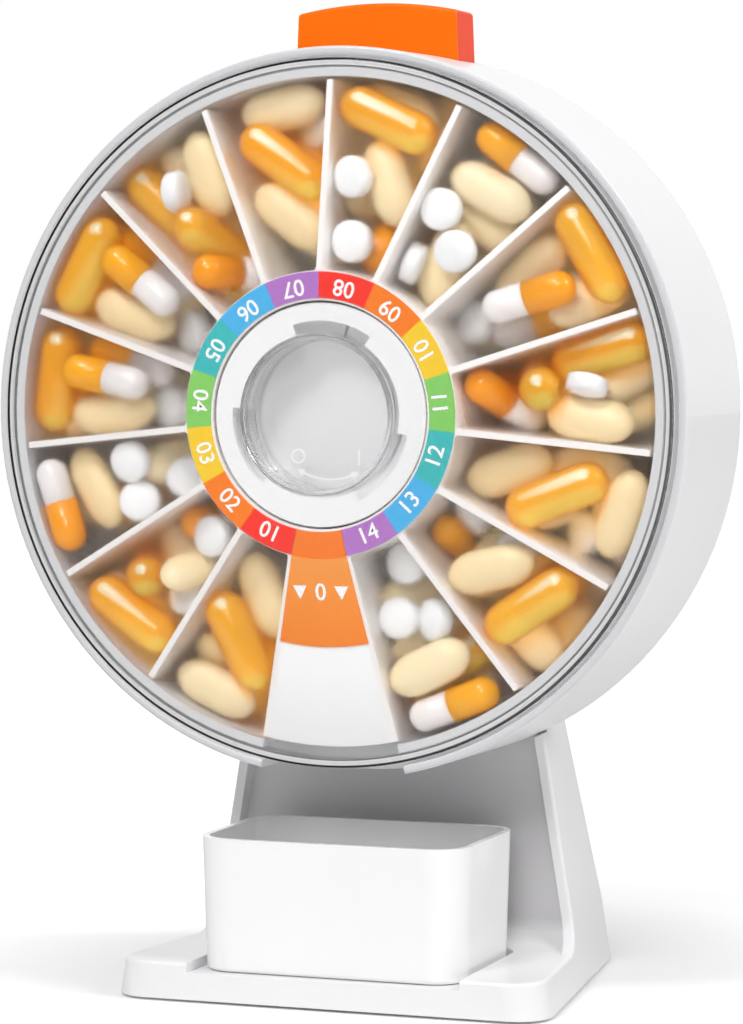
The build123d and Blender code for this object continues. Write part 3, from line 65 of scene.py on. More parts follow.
# ---------------------------------------------------------------- Table and light
# Pale table that runs out of sight into a white room. Soft lamps hang to the upper left, in
# front and to the right, and the room fills in from every side.
def node(tree, kind, inputs=None, **settings):
    """Adds a node. A socket given as an input is linked, and any other value is set."""
    made = tree.nodes.new(kind)
    for key, value in settings.items():
        setattr(made, key, value)
    for key, value in (inputs or {}).items():
        if isinstance(value, bpy.types.NodeSocket):
            tree.links.new(value, made.inputs[key])
        else:
            made.inputs[key].default_value = value
    return made


def math_node(tree, operation, *values):
    """Output of one Math node."""
    return node(tree, "ShaderNodeMath", dict(enumerate(values)), operation=operation).outputs[0]


def span(tree, value, start, end, low=0.0, high=1.0, **settings):
    """Maps a value from one range to another, and holds it at both ends."""
    reach = {"Value": value, "From Min": start, "From Max": end, "To Min": low, "To Max": high}
    return node(tree, "ShaderNodeMapRange", reach, **settings).outputs[0]


def coordinate(tree, space, axis):
    """One coordinate of each point, or of its normal, in the object's own space."""
    place = node(tree, "ShaderNodeTexCoord").outputs[space]
    return node(tree, "ShaderNodeSeparateXYZ", {0: place}).outputs[axis]


def paint(code):
    """Linear colour for six hexadecimal digits."""
    channels = [int(code[i : i + 2], 16) / 255 for i in (0, 2, 4)]
    linear = [c / 12.92 if c < 0.04045 else ((c + 0.055) / 1.055) ** 2.4 for c in channels]
    return (*linear, 1.0)


def blank_material(name):
    """Material without nodes, and its tree."""
    material = bpy.data.materials.new(name)
    material.use_nodes = True
    material.node_tree.nodes.clear()
    return material, material.node_tree


def surface(tree, shader):
    """Sends a shader to the material's output."""
    tree.links.new(shader, node(tree, "ShaderNodeOutputMaterial").inputs["Surface"])


def link_object(name, mesh):
    """Puts a mesh in the scene, at the origin."""
    made = bpy.data.objects.new(name, mesh)
    bpy.context.scene.collection.objects.link(made)
    return made


AMBIENT = 0.21                 # light that the room sends to every side
STUDIO = 0.15                  # the room in front of the table, as gloss shows it
STUDIO_END = -0.35             # heading's Y where the room begins to pale, and where it is white
BACKDROP = 0.1
room = bpy.data.worlds.new("room")
bpy.context.scene.world = room
room.use_nodes = True
tree = room.node_tree
tree.nodes.clear()
seen = node(tree, "ShaderNodeLightPath").outputs
backdrop = span(tree, coordinate(tree, "Generated", "Y"), STUDIO_END, BACKDROP, STUDIO)
mirror = math_node(tree, "MAXIMUM", seen["Is Glossy Ray"], seen["Is Transmission Ray"])
mirrored = math_node(tree, "MULTIPLY", mirror, backdrop)
shown = math_node(tree, "MAXIMUM", mirrored, seen["Is Camera Ray"])
level = math_node(tree, "MAXIMUM", shown, math_node(tree, "SUBTRACT", AMBIENT, mirror))
sky = node(tree, "ShaderNodeBackground", {"Color": (1, 1, 1, 1), "Strength": level})
tree.links.new(sky.outputs[0], node(tree, "ShaderNodeOutputWorld").inputs["Surface"])


def lamp(name, place, aim, size, power):
    """Square soft lamp that looks at a point."""
    data = bpy.data.lights.new(name, "AREA")
    data.size = size
    data.energy = power
    made = bpy.data.objects.new(name, data)
    made.location = place
    made.rotation_euler = (Vector(aim) - Vector(place)).to_track_quat("-Z", "Y").to_euler()
    bpy.context.scene.collection.objects.link(made)


lamp("key_lamp", (-0.4, -1.25, 1.7), (0, 0, 0.1), 0.5, 17)
lamp("front_lamp", (0.25, -1.55, 1.05), (0, 0, 0.1), 0.6, 9)
lamp("side_lamp", (1.5, -0.15, 1.35), (0, 0, 0.12), 0.6, 16.5)

TABLE_HALF = 6.0
UNDER = 0.04                   # distances from the middle: under the object, beside it, far off
BESIDE = 0.13
FAR = 0.9
UNDER_LIFT = 0.05              # white added at each of these distances
BESIDE_LIFT = 0.46
FAR_LIFT = 0.3
table_mesh = bpy.data.meshes.new("table")
corners = [(-1, -1, 0), (1, -1, 0), (1, 1, 0), (-1, 1, 0)]
table_mesh.from_pydata([Vector(c) * TABLE_HALF for c in corners], [], [(0, 1, 2, 3)])
table = link_object("table", table_mesh)
table_top, tree = blank_material("table_top")
to_camera = node(tree, "ShaderNodeLightPath").outputs["Is Camera Ray"]
spot = node(tree, "ShaderNodeTexCoord").outputs["Object"]
away = node(tree, "ShaderNodeVectorMath", {0: spot}, operation="LENGTH").outputs["Value"]
nearby = span(tree, away, UNDER, BESIDE, UNDER_LIFT, BESIDE_LIFT)
beyond = span(tree, away, BESIDE, FAR, 0.0, FAR_LIFT)
top = node(
    tree,
    "ShaderNodeBsdfPrincipled",
    {
        "Base Color": paint("F4F4F4"),
        "Roughness": 0.7,
        "Emission Color": (1, 1, 1, 1),
        "Emission Strength": math_node(
            tree, "MULTIPLY", to_camera, math_node(tree, "ADD", nearby, beyond)
        ),
    },
)
surface(tree, top.outputs[0])
table_mesh.materials.append(table_top)

# ---------------------------------------------------------------- Shells of the case
# Drum with its guard ring, rear cover, stand and base plate, injection moulded in satin white
# ABS with a very fine spark-eroded grain. Edges are softened as the mould leaves them.
CLOUD_SCALE = 28.0             # slow changes of colour and gloss
GLOSS_DRIFT = 0.06
RUBBED = 0.12                  # roughness added on edges that hands rub
GRAIN_HEIGHT = 0.00015


def shader_group(name, inputs, outputs):
    """Empty shader group with named sockets, and its input and output sockets."""
    tree = bpy.data.node_groups.new(name, "ShaderNodeTree")
    for label, kind, value in inputs:
        socket = tree.interface.new_socket(label, in_out="INPUT", socket_type=kind)
        socket.default_value = value
    for label, kind in outputs:
        tree.interface.new_socket(label, in_out="OUTPUT", socket_type=kind)
    return tree, node(tree, "NodeGroupInput").outputs, node(tree, "NodeGroupOutput").inputs


# Surface of a moulded part: a grain, slow changes of gloss and a softened edge.
skin, given, result = shader_group(
    "moulded_skin",
    [
        ("Roughness", "NodeSocketFloat", 0.3),
        ("Grain", "NodeSocketFloat", 1400.0),
        ("Depth", "NodeSocketFloat", 0.1),
        ("Edge", "NodeSocketFloat", 0.0003),
    ],
    [
        ("Roughness", "NodeSocketFloat"),
        ("Cloud", "NodeSocketFloat"),
        ("Rub", "NodeSocketFloat"),
        ("Normal", "NodeSocketVector"),
    ],
)
here = node(skin, "ShaderNodeTexCoord").outputs["Object"]
speckle = {"Vector": here, "Scale": given["Grain"], "Detail": 2.0}
grain = node(skin, "ShaderNodeTexNoise", speckle).outputs[0]
drift = {"Vector": here, "Scale": CLOUD_SCALE, "Detail": 4.0}
cloud = node(skin, "ShaderNodeTexNoise", drift).outputs[0]
soft_edge = node(skin, "ShaderNodeBevel", {"Radius": given["Edge"]}, samples=6).outputs[0]
flat = node(skin, "ShaderNodeNewGeometry").outputs["True Normal"]
along = node(skin, "ShaderNodeVectorMath", {0: soft_edge, 1: flat}, operation="DOT_PRODUCT")
patchy = math_node(skin, "MULTIPLY", span(skin, along.outputs["Value"], 0.98, 0.75), cloud)
uneven = math_node(skin, "MULTIPLY", math_node(skin, "SUBTRACT", cloud, 0.5), GLOSS_DRIFT)
gloss = math_node(skin, "ADD", given["Roughness"], uneven)
skin.links.new(math_node(skin, "MULTIPLY_ADD", patchy, RUBBED, gloss), result["Roughness"])
skin.links.new(cloud, result["Cloud"])
skin.links.new(patchy, result["Rub"])
bump = node(
    skin,
    "ShaderNodeBump",
    {"Height": grain, "Strength": given["Depth"], "Distance": GRAIN_HEIGHT, "Normal": soft_edge},
)
skin.links.new(bump.outputs[0], result["Normal"])


def moulded(tree, rough, grain, depth, edge):
    """Places the moulded skin, and gives its outputs."""
    values = {"Roughness": rough, "Grain": grain, "Depth": depth, "Edge": edge}
    return node(tree, "ShaderNodeGroup", values, node_tree=skin).outputs


def blend(tree, factor, first, second, mode="MIX"):
    """Mixes two colours."""
    colours = {0: factor, 6: first, 7: second}
    return node(tree, "ShaderNodeMix", colours, data_type="RGBA", blend_type=mode).outputs[2]


def coated(tree, face, colour, **more):
    """Sends an opaque shader with a moulded skin to the material's output."""
    inputs = {"Base Color": colour, "Roughness": face["Roughness"], "Normal": face["Normal"]}
    inputs.update({label.replace("_", " "): value for label, value in more.items()})
    surface(tree, node(tree, "ShaderNodeBsdfPrincipled", inputs).outputs[0])


def plastic(name, colour, shade, rough=0.3, grain=1400.0, depth=0.1, edge=0.0003):
    """Moulded plastic that drifts between two close colours and is paler where rubbed."""
    material, tree = blank_material(name)
    face = moulded(tree, rough, grain, depth, edge)
    base_tone = blend(tree, face["Cloud"], paint(colour), paint(shade))
    coated(tree, face, blend(tree, face["Rub"], base_tone, (1, 1, 1, 1), "SOFT_LIGHT"))
    return material


def dress(material, *names):
    """Gives CAD nodes a material."""
    for name in names:
        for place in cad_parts[name].material_slots:
            place.material = material


def retint(tree, factor, colour, mode="MIX"):
    """Lays a colour over the one that a material has, where the factor says."""
    own = next(item for item in tree.nodes if item.type == "BSDF_PRINCIPLED").inputs["Base Color"]
    tree.links.new(blend(tree, factor, own.links[0].from_socket, colour, mode), own)


def paint_front_shade(material, start, end, tone):
    """Paints shade on a plastic where it faces the front, more and more from one Y to another."""
    tree = material.node_tree
    near = span(tree, coordinate(tree, "Object", "Y"), start, end)
    ahead = span(tree, coordinate(tree, "Normal", "Y"), -0.1, -0.9)
    retint(tree, math_node(tree, "MULTIPLY", near, ahead), tone, "MULTIPLY")


# The drum's lip is polished. Where it faces the front it is painted darker: a painted reflection of
# the darker room in front of the table.
LIP_BEGINS = -0.0322           # Y where the lip's tone begins, and where it is full
LIP_FRONT = -0.0340
LIP_PAINTED_REFLECTION = (0.72, 0.72, 0.73, 1)
white_shell = plastic("white_shell", "F6F6F7", "F0F0F2")
paint_front_shade(white_shell, LIP_BEGINS, LIP_FRONT, LIP_PAINTED_REFLECTION)
# The recessed panel under the drum is painted a little greyer where it faces the front: painted
# shade.
PANEL_BEGINS = 0.0055          # Y where the panel's tone begins, and where it is full
PANEL_FRONT = 0.0068
PANEL_PAINTED_SHADE = (0.76, 0.745, 0.75, 1)
stand_white = plastic("stand_white", "F1F1F2", "EDEDEE")
paint_front_shade(stand_white, PANEL_BEGINS, PANEL_FRONT, PANEL_PAINTED_SHADE)
# The guard ring gets a greyer white than the drum: painted shade for the ring set into the drum's
# front.
guard_shaded_white = plastic("guard_shaded_white", "E6E6E7", "DFDFE1")
dress(white_shell, "drum_housing", "rear_cover")
dress(stand_white, "base_stand", "base_plate")
dress(guard_shaded_white, "guard_ring")

# ---------------------------------------------------------------- Pill tray
# Open box that stands in the foot's recess and slides out to the front. Polished white
# polystyrene, smoother than the shells.
tray_white = plastic("tray_white", "FAFAFA", "F3F3F4", rough=0.16, depth=0.03, edge=0.0005)
dress(tray_white, "pill_tray")

# ---------------------------------------------------------------- Hub post and lock ring
# The bowl behind the knob is one piece with the spindle, and the ring with its three bayonet
# slots is pressed into it. Both stay still as the wheel turns. Satin white ABS.
hub_white = plastic("hub_white", "F7F7F7", "EFEFF0", rough=0.34, depth=0.05, edge=0.0002)
dress(hub_white, "hub_post", "lock_ring")

# ---------------------------------------------------------------- Parts of the drive
# Chassis, yoke, pawl, gear and washer work inside the case. The frame parts are light grey
# ABS, and the sliding parts are natural acetal.
inner_plastic = plastic("inner_plastic", "D9DADC", "CFD0D3", rough=0.45, depth=0.2)
acetal = plastic("acetal", "EFEDE4", "E6E3D8", rough=0.38, depth=0.08)
dress(inner_plastic, "chassis_plate", "yoke")
dress(acetal, "drive_pawl", "ratchet_gear", "thrust_washer")

# ---------------------------------------------------------------- Screws, pin and leaf
# Zinc-plated self-tapping screws and pin with a faint brushed bloom, and the detent leaf, cut
# from bright spring strip.
def metal(name, colour, rough, grain):
    """Metal with a fine grain and a cloudy bloom."""
    material, tree = blank_material(name)
    face = moulded(tree, rough, grain, 0.2, 0.0001)
    tone = blend(tree, face["Cloud"], paint(colour), paint("8F9296"))
    coated(tree, face, tone, Metallic=1.0)
    return material


zinc_steel = metal("zinc_steel", "C9CCD0", 0.34, 2600.0)
spring_steel = metal("spring_steel", "B4B6BA", 0.22, 3800.0)
for part in ("base", "column", "chassis", "rear_cover", "gear", "yoke"):
    dress(zinc_steel, f"{part}_screws")
dress(zinc_steel, "spindle_screw", "pawl_pin")
dress(spring_steel, "detent_leaf")

# ---------------------------------------------------------------- Return springs
# Two coils of drawn wire between the shelves of the chassis and the yoke. Each is wound as one fixed
# coil that moves with the button.
WIRE_RADIUS = 0.00035
COIL_TURNS = 7.0


def mesh_tree(name, *inputs):
    """Geometry node tree with named inputs after its geometry, and its input sockets."""
    tree = bpy.data.node_groups.new(name, "GeometryNodeTree")
    for label, kind in (("Geometry", "Geometry"), *inputs):
        tree.interface.new_socket(label, in_out="INPUT", socket_type="NodeSocket" + kind)
    tree.interface.new_socket("Geometry", in_out="OUTPUT", socket_type="NodeSocketGeometry")
    return tree, node(tree, "NodeGroupInput").outputs


def close_tree(tree, geometry, finish):
    """Ends a node tree with a real mesh in one material."""
    real = node(tree, "GeometryNodeRealizeInstances", {0: geometry}).outputs[0]
    dressed = node(tree, "GeometryNodeSetMaterial", {"Geometry": real, "Material": finish})
    node(tree, "NodeGroupOutput", {0: dressed.outputs[0]})
    return tree


def coil_tree():
    """Node tree that winds one coil of round wire."""
    tree, given = mesh_tree(
        "wound_coil",
        ("Turns", "Float"),
        ("Radius", "Float"),
        ("Height", "Float"),
        ("Wire", "Float"),
        ("Finish", "Material"),
    )
    winding = {
        "Resolution": 32,
        "Rotations": given["Turns"],
        "Start Radius": given["Radius"],
        "End Radius": given["Radius"],
        "Height": given["Height"],
    }
    line = node(tree, "GeometryNodeCurveSpiral", winding).outputs[0]
    round_wire = {"Resolution": 12, "Radius": given["Wire"]}
    section = node(tree, "GeometryNodeCurvePrimitiveCircle", round_wire).outputs[0]
    sweep = {"Curve": line, "Profile Curve": section, "Fill Caps": True}
    tube = node(tree, "GeometryNodeCurveToMesh", sweep).outputs[0]
    return close_tree(tree, tube, given["Finish"])


def grown(name, start, tree, values):
    """Plain mesh object that a node tree makes from a start mesh, with its inputs by label."""
    made = link_object(name, start)
    grower = made.modifiers.new("grower", "NODES")
    grower.node_group = tree
    for item in tree.interface.items_tree:
        if item.in_out == "INPUT" and item.name in values:
            grower[item.identifier] = values[item.name]
    depsgraph = bpy.context.evaluated_depsgraph_get()
    mesh = bpy.data.meshes.new_from_object(made.evaluated_get(depsgraph))
    made.modifiers.remove(grower)
    made.data = mesh
    return made


wound_coil = coil_tree()
for side in ("left", "right"):
    low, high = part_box(f"return_spring_{side}")
    middle = (Vector(low) + Vector(high)) / 2
    coil = grown(
        f"wire_coil_{side}",
        bpy.data.meshes.new(f"wire_coil_{side}"),
        wound_coil,
        {
            "Turns": COIL_TURNS,
            "Radius": (high[0] - low[0]) / 2 - WIRE_RADIUS,
            "Height": high[2] - low[2] - 2 * WIRE_RADIUS,
            "Wire": WIRE_RADIUS,
            "Finish": spring_steel,
        },
    )
    coil.data.transform(Matrix.Translation((middle.x, middle.y, low[2] + WIRE_RADIUS)))
    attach(coil, "button")
    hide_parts(f"return_spring_{side}")
    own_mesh(coil)

# ---------------------------------------------------------------- Rubber pads
# Four round pads that the dispenser stands on, die-cut from dull dark grey elastomer and glued
# to the base plate.
rubber = plastic("rubber", "3A3B3D", "2E2F31", rough=0.75, grain=900.0, depth=0.6)
dress(rubber, "rubber_pads")

# ---------------------------------------------------------------- Push button
# Orange cap moulded in ABS. Its two ends are painted a redder orange than its broad front: painted
# shade for the ends, which see less light. Its edges pale towards light orange where rubbed: partly
# wear, partly a painted edge highlight.
push_orange, tree = blank_material("push_orange")
face = moulded(tree, 0.32, 1400.0, 0.08, 0.0005)
sideways = math_node(tree, "ABSOLUTE", coordinate(tree, "Normal", "X"))
front_tone = blend(tree, face["Cloud"], paint("FC7512"), paint("F86E0C"))
base_tone = blend(tree, span(tree, sideways, 0.5, 0.9), front_tone, paint("FA4408"))
worn_edge_and_highlight = blend(tree, face["Rub"], base_tone, paint("FFC08A"))
coated(tree, face, worn_edge_and_highlight, Specular_IOR_Level=0.08)
dress(push_orange, "push_button")

# ---------------------------------------------------------------- Pill wheel
# Thin-walled wheel moulded in white polypropylene, polished where the pills slide, with its dividers
# and a closed start sector. Its warm tint is painted light: the warm bounce that the amber pills
# throw on the walls.
wheel_white = plastic("wheel_white", "F7F3F0", "F2ECE8", rough=0.36, depth=0.06, edge=0.0002)
dress(wheel_white, "pill_wheel", "wheel_dividers")

# ---------------------------------------------------------------- Labels on the wheel
# Printed film: seven colours twice over, one field for each compartment, and an orange label
# on the start sector. Plain numbers count the doses, and marks point down to the outlet.
AXIS_HEIGHT = 0.1303
FRONT_LIP = -0.035             # Y of the drum's lip, from which depths are counted
HUB_FRONT = -0.0078
HUB_RADIUS = 0.0312
CONE = 6.8 / 41.4              # the dividers' front edges fall back towards the rim
LABEL_THICKNESS = 0.0003
PITCH = 24.0
DOWN = 270.0                   # heading of the start sector, from +X
FIELD_COLOURS = ("FF3B30", "FF8326", "FDD235", "8BD36B", "45BFBF", "52B9F0", "B97CCB")


def from_axis(tree):
    """How far each point is to the right of the wheel axis and above it."""
    height = coordinate(tree, "Object", "Z")
    return coordinate(tree, "Object", "X"), math_node(tree, "SUBTRACT", height, AXIS_HEIGHT)


def heading_of(tree):
    """Angle around the wheel axis in degrees from +X, at each point."""
    across, upward = from_axis(tree)
    return math_node(tree, "DEGREES", math_node(tree, "ARCTAN2", upward, across))


def outward(tree, inner, outer):
    """Share of the way from one radius to another around the wheel axis, from 0 to 1."""
    across, upward = from_axis(tree)
    square = math_node(tree, "MULTIPLY", upward, upward)
    squares = math_node(tree, "MULTIPLY_ADD", across, across, square)
    return span(tree, math_node(tree, "SQRT", squares), inner, outer)


def ramp(tree, factor, stops, steps=False):
    """Colour ramp with smooth or hard steps."""
    made = node(tree, "ShaderNodeValToRGB", {0: factor})
    made.color_ramp.interpolation = "CONSTANT" if steps else "LINEAR"
    while len(made.color_ramp.elements) < len(stops):
        made.color_ramp.elements.new(0.5)
    for element, (position, colour) in zip(made.color_ramp.elements, stops):
        element.position = position
        element.color = colour
    return made.outputs[0]


def film(tree, colour):
    """Glossy printed film: ink that mottles faintly over a smooth carrier."""
    face = moulded(tree, 0.3, 2200.0, 0.04, 0.0001)
    inked = blend(tree, face["Cloud"], colour, (0.86, 0.86, 0.86, 1), "MULTIPLY")
    coated(tree, face, inked, Specular_IOR_Level=0.2)


week = len(FIELD_COLOURS)
label_print, tree = blank_material("label_print")
onward = math_node(tree, "SUBTRACT", DOWN - PITCH / 2, heading_of(tree))
onward = math_node(tree, "WRAP", onward, 360.0, 0.0)
field = math_node(tree, "WRAP", onward, week * PITCH, 0.0)
share = math_node(tree, "DIVIDE", field, week * PITCH)
stops = [(i / week, paint(code)) for i, code in enumerate(FIELD_COLOURS)]
film(tree, ramp(tree, share, stops, steps=True))
dress(label_print, "label_ring")

START_TOP = 0.0250             # radii where the start label's colours begin and end
START_FOOT = 0.0510
start_orange, tree = blank_material("start_orange")
stops = [
    (0.0, paint("FF8433")),
    (0.235, paint("FF7E2A")),
    (0.24, paint("FFA24C")),
    (0.6, paint("FF9636")),
    (1.0, paint("FF8A28")),
]
film(tree, ramp(tree, outward(tree, START_TOP, START_FOOT), stops))
dress(start_orange, "start_label")

# Below that label the wheel is closed by a plain front, which is whiter than the compartments,
# without their painted warm bounce, and has painted shade that darkens it a little towards the rim.
CLOSED_TOP = 0.0540            # radii between which it falls off
CLOSED_FOOT = 0.0735
CLOSED_HALF = PITCH / 2 - 0.6  # degrees to each side, up to the dividers
tree = wheel_white.node_tree
beside = math_node(tree, "ABSOLUTE", math_node(tree, "ADD", heading_of(tree), 360.0 - DOWN))
closed = math_node(tree, "LESS_THAN", beside, CLOSED_HALF)
closed_rim_shade = outward(tree, CLOSED_TOP, CLOSED_FOOT)
retint(tree, closed, blend(tree, closed_rim_shade, paint("FCFCFC"), paint("ECECED")))

NUMBER_RADIUS = 0.0280
NUMBER_SIZE = 0.0050
ZERO_SIZE = 0.0052
ZERO_RADIUS = 0.0385
ARROW_ACROSS = 0.0048
ARROW_HALF_WIDTH = 0.0016
ARROW_TOP = 0.0370
ARROW_TIP = 0.0400
INK = 0.00002                  # half the thickness of the printed marks
BOLDER = 0.00006


def lettering(words, size):
    """Flat mesh of centred text in the XY plane, slightly raised."""
    curve = bpy.data.curves.new("words", "FONT")
    curve.body = words
    curve.size = size
    curve.align_x = "CENTER"
    curve.align_y = "CENTER"
    curve.extrude = INK
    curve.offset = BOLDER
    curve.resolution_u = 6
    carrier = bpy.data.objects.new("words", curve)
    bpy.context.scene.collection.objects.link(carrier)
    depsgraph = bpy.context.evaluated_depsgraph_get()
    mesh = bpy.data.meshes.new_from_object(carrier.evaluated_get(depsgraph))
    bpy.data.objects.remove(carrier)
    return mesh


def cone_depth(radius):
    """Depth of the dividers' front edges at a radius."""
    return HUB_FRONT + CONE * max(0.0, radius - HUB_RADIUS)


def on_axis(x, z, depth):
    """Point from its place around the wheel axis and its depth behind the drum's lip."""
    return Vector((x, FRONT_LIP + depth, AXIS_HEIGHT + z))


def joined(name, meshes, material):
    """One object from several meshes."""
    points = []
    faces = []
    for mesh in meshes:
        start = len(points)
        points += [tuple(v.co) for v in mesh.vertices]
        faces += [[start + v for v in polygon.vertices] for polygon in mesh.polygons]
    whole = bpy.data.meshes.new(name)
    whole.from_pydata(points, [], faces)
    whole.materials.append(material)
    return link_object(name, whole)


print_white = plastic("print_white", "FFFFFF", "F6F6F6", rough=0.4, depth=0.03, edge=0.00002)
numbers = []
for dose in range(1, 15):
    angle = math.radians(DOWN - PITCH * dose)
    mesh = lettering(f"{dose:02d}", NUMBER_SIZE)
    up = Vector((-math.cos(angle), 0, -math.sin(angle)))
    right = Vector((-math.sin(angle), 0, math.cos(angle)))
    spot = on_axis(
        NUMBER_RADIUS * math.cos(angle),
        NUMBER_RADIUS * math.sin(angle),
        HUB_FRONT - LABEL_THICKNESS - INK,
    )
    axes = Matrix((right, up, Vector((0, -1, 0)))).transposed().to_4x4()
    mesh.transform(Matrix.Translation(spot) @ axes)
    numbers.append(mesh)
label_numbers = joined("label_numbers", numbers, print_white)
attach(label_numbers, "wheel")

zero = lettering("0", ZERO_SIZE)
zero.transform(Matrix.Translation((0, -ZERO_RADIUS, 0)))
marks = [zero]
for side in (-1, 1):
    arrow = bpy.data.meshes.new("arrow")
    x = side * ARROW_ACROSS
    flat = [(x - ARROW_HALF_WIDTH, -ARROW_TOP), (x, -ARROW_TIP), (x + ARROW_HALF_WIDTH, -ARROW_TOP)]
    arrow.from_pydata(
        [(px, pz, t) for t in (-INK, INK) for px, pz in flat],
        [],
        [(2, 1, 0), (3, 4, 5), (0, 1, 4, 3), (1, 2, 5, 4), (2, 0, 3, 5)],
    )
    marks.append(arrow)
for mesh in marks:
    for v in mesh.vertices:
        x, z, lift = v.co
        v.co = on_axis(x, z, cone_depth(math.hypot(x, z)) - LABEL_THICKNESS - INK - lift)
start_marks = joined("start_marks", marks, print_white)
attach(start_marks, "wheel")

# ---------------------------------------------------------------- Clear cover and knob
# The cover is a shallow cone of clear polystyrene whose inside is lightly frosted, and its
# skirt plugs into the drum's groove. The knob is a clear cup that locks it.
FROST = 0.24                   # roughness added on the inside


def clear(tree, colour, rough, normal, tint=(1, 1, 1, 1), clearness=1.0, mirror=1.0):
    """Clear plastic that lets light through to what is behind it."""
    glass = node(
        tree,
        "ShaderNodeBsdfPrincipled",
        {
            "Base Color": colour,
            "Roughness": rough,
            "Normal": normal,
            "Transmission Weight": clearness,
            "IOR": 1.49,
            "Specular Tint": (mirror, mirror, mirror, 1),
        },
    ).outputs[0]
    open_way = node(tree, "ShaderNodeBsdfTransparent", {"Color": tint}).outputs[0]
    rays = node(tree, "ShaderNodeLightPath").outputs
    passing = math_node(tree, "MAXIMUM", rays["Is Shadow Ray"], rays["Is Diffuse Ray"])
    surface(tree, node(tree, "ShaderNodeMixShader", {0: passing, 1: glass, 2: open_way}).outputs[0])


def shade_rings(tree, inner, outer, *tones):
    """Painted shade on clear plastic: greys from one radius to another, dark where a shaded gap or
    edge lies behind.
    """
    stops = [(at, (tone, tone, tone, 1)) for at, tone in tones]
    return ramp(tree, outward(tree, inner, outer), stops)


clear_front, tree = blank_material("clear_front")
face = moulded(tree, 0.05, 700.0, 0.02, 0.0002)
# Painted shade: a grey band and dark rings near the rim, where the drum's groove and the gaps behind
# the cover's edge lie in shade.
rim_shade = shade_rings(
    tree, 0.0724, 0.0780,
    (0.0, 0.99), (0.04, 0.99), (0.06, 0.86), (0.54, 0.86), (0.56, 0.45), (0.59, 0.45),
    (0.61, 0.88), (0.772, 0.85), (0.785, 0.02), (0.862, 0.02), (0.88, 0.95),
)
inside = node(tree, "ShaderNodeNewGeometry").outputs["Backfacing"]
flipped = math_node(tree, "MULTIPLY_ADD", inside, -2.0, 1.0)
backward = math_node(tree, "MULTIPLY", coordinate(tree, "Normal", "Y"), flipped)
frost = span(tree, backward, 0.2, 0.6, 0.0, FROST)
gloss = math_node(tree, "ADD", face["Roughness"], frost)
clear(tree, rim_shade, gloss, face["Normal"], mirror=0.3)
dress(clear_front, "clear_cover")

clear_rim, tree = blank_material("clear_rim")
face = moulded(tree, 0.14, 700.0, 0.03, 0.0001)
# Painted shade: the skirt is greyed, with dark rings where the groove around it lies in shade.
rim_shade = shade_rings(
    tree, 0.0750, 0.0780,
    (0.0, 0.35), (0.21, 0.35), (0.25, 0.9), (0.4, 0.85), (0.43, 0.5), (0.46, 0.88), (0.6, 0.85),
    (0.62, 0.12), (0.68, 0.12), (0.71, 0.9),
)
clear(tree, rim_shade, face["Roughness"], face["Normal"], clearness=0.35, mirror=0.6)
dress(clear_rim, "cover_skirt")

clear_knob, tree = blank_material("clear_knob")
face = moulded(tree, 0.04, 900.0, 0.02, 0.0002)
# Painted shade: two dark rings at the cup's side.
wall = shade_rings(
    tree, 0.0155, 0.0180,
    (0.0, 0.99), (0.24, 0.99), (0.27, 0.65), (0.31, 0.97), (0.68, 0.97), (0.71, 0.5), (0.75, 0.97),
)
body = blend(tree, face["Cloud"], wall, (0.95, 0.95, 0.96, 1), "MULTIPLY")
clear(tree, body, face["Roughness"], face["Normal"])
dress(clear_knob, "lock_knob", "knob_lugs")

# Raised marks on the knob's floor: a ring for open, a bar for locked, and an arrow between.
KNOB_FLOOR = -0.0017
MARK_LIFT = 0.00004
MARK_THICKNESS = 0.00006
ARC_MIDDLE = 268
ARC_HALF = 23
ARC_RADIUS = 0.0142
ARC_HALF_WIDTH = 0.0002
HEAD_LENGTH = 0.0018
HEAD_HALF_WIDTH = 0.0010


def strip(inner, outer, first, last, centre=(0.0, 0.0), steps=24):
    """Flat arc of a ring, in the plane of the knob's floor."""
    mesh = bpy.data.meshes.new("strip")
    points = []
    for i in range(steps + 1):
        a = math.radians(first + (last - first) * i / steps)
        for r in (inner, outer):
            points.append((centre[0] + r * math.cos(a), centre[1] + r * math.sin(a), 0))
    faces = [(2 * i, 2 * i + 1, 2 * i + 3, 2 * i + 2) for i in range(steps)]
    mesh.from_pydata(points, [], faces)
    return mesh


def patch(*points):
    """Flat polygon in the plane of the knob's floor."""
    mesh = bpy.data.meshes.new("patch")
    mesh.from_pydata([(x, z, 0) for x, z in points], [], [tuple(range(len(points)))])
    return mesh


knob_marks = [
    strip(0.00125, 0.00165, 0, 360, (-0.0074, -0.0092)),
    patch((0.0066, -0.0110), (0.0070, -0.0110), (0.0070, -0.0076), (0.0066, -0.0076)),
    strip(
        ARC_RADIUS - ARC_HALF_WIDTH,
        ARC_RADIUS + ARC_HALF_WIDTH,
        ARC_MIDDLE - ARC_HALF,
        ARC_MIDDLE + ARC_HALF,
    ),
]
for side in (-1, 1):
    a = math.radians(ARC_MIDDLE + side * ARC_HALF)
    ahead = Vector((-math.sin(a), math.cos(a))) * side * HEAD_LENGTH
    away = Vector((math.cos(a), math.sin(a)))
    middle = away * ARC_RADIUS
    tips = [middle + ahead, middle + away * HEAD_HALF_WIDTH, middle - away * HEAD_HALF_WIDTH]
    knob_marks.append(patch(*(tips if side < 0 else reversed(tips))))
for mesh in knob_marks:
    for v in mesh.vertices:
        v.co = on_axis(v.co.x, v.co.y, KNOB_FLOOR - MARK_LIFT)
switch_marks = joined("switch_marks", knob_marks, print_white)
switch_marks.modifiers.new("thickness", "SOLIDIFY").thickness = MARK_THICKNESS
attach(switch_marks, "knob")

# ---------------------------------------------------------------- Pills
# Loose doses behind the clear cover: amber softgels, two-piece capsules, cream caplets and
# white tablets. They lie where they come to rest between the hub, the dividers, the guard
# ring and each other.
SOFTGEL, CAPSULE, CAPLET, TABLET = "softgel", "capsule", "caplet", "tablet"
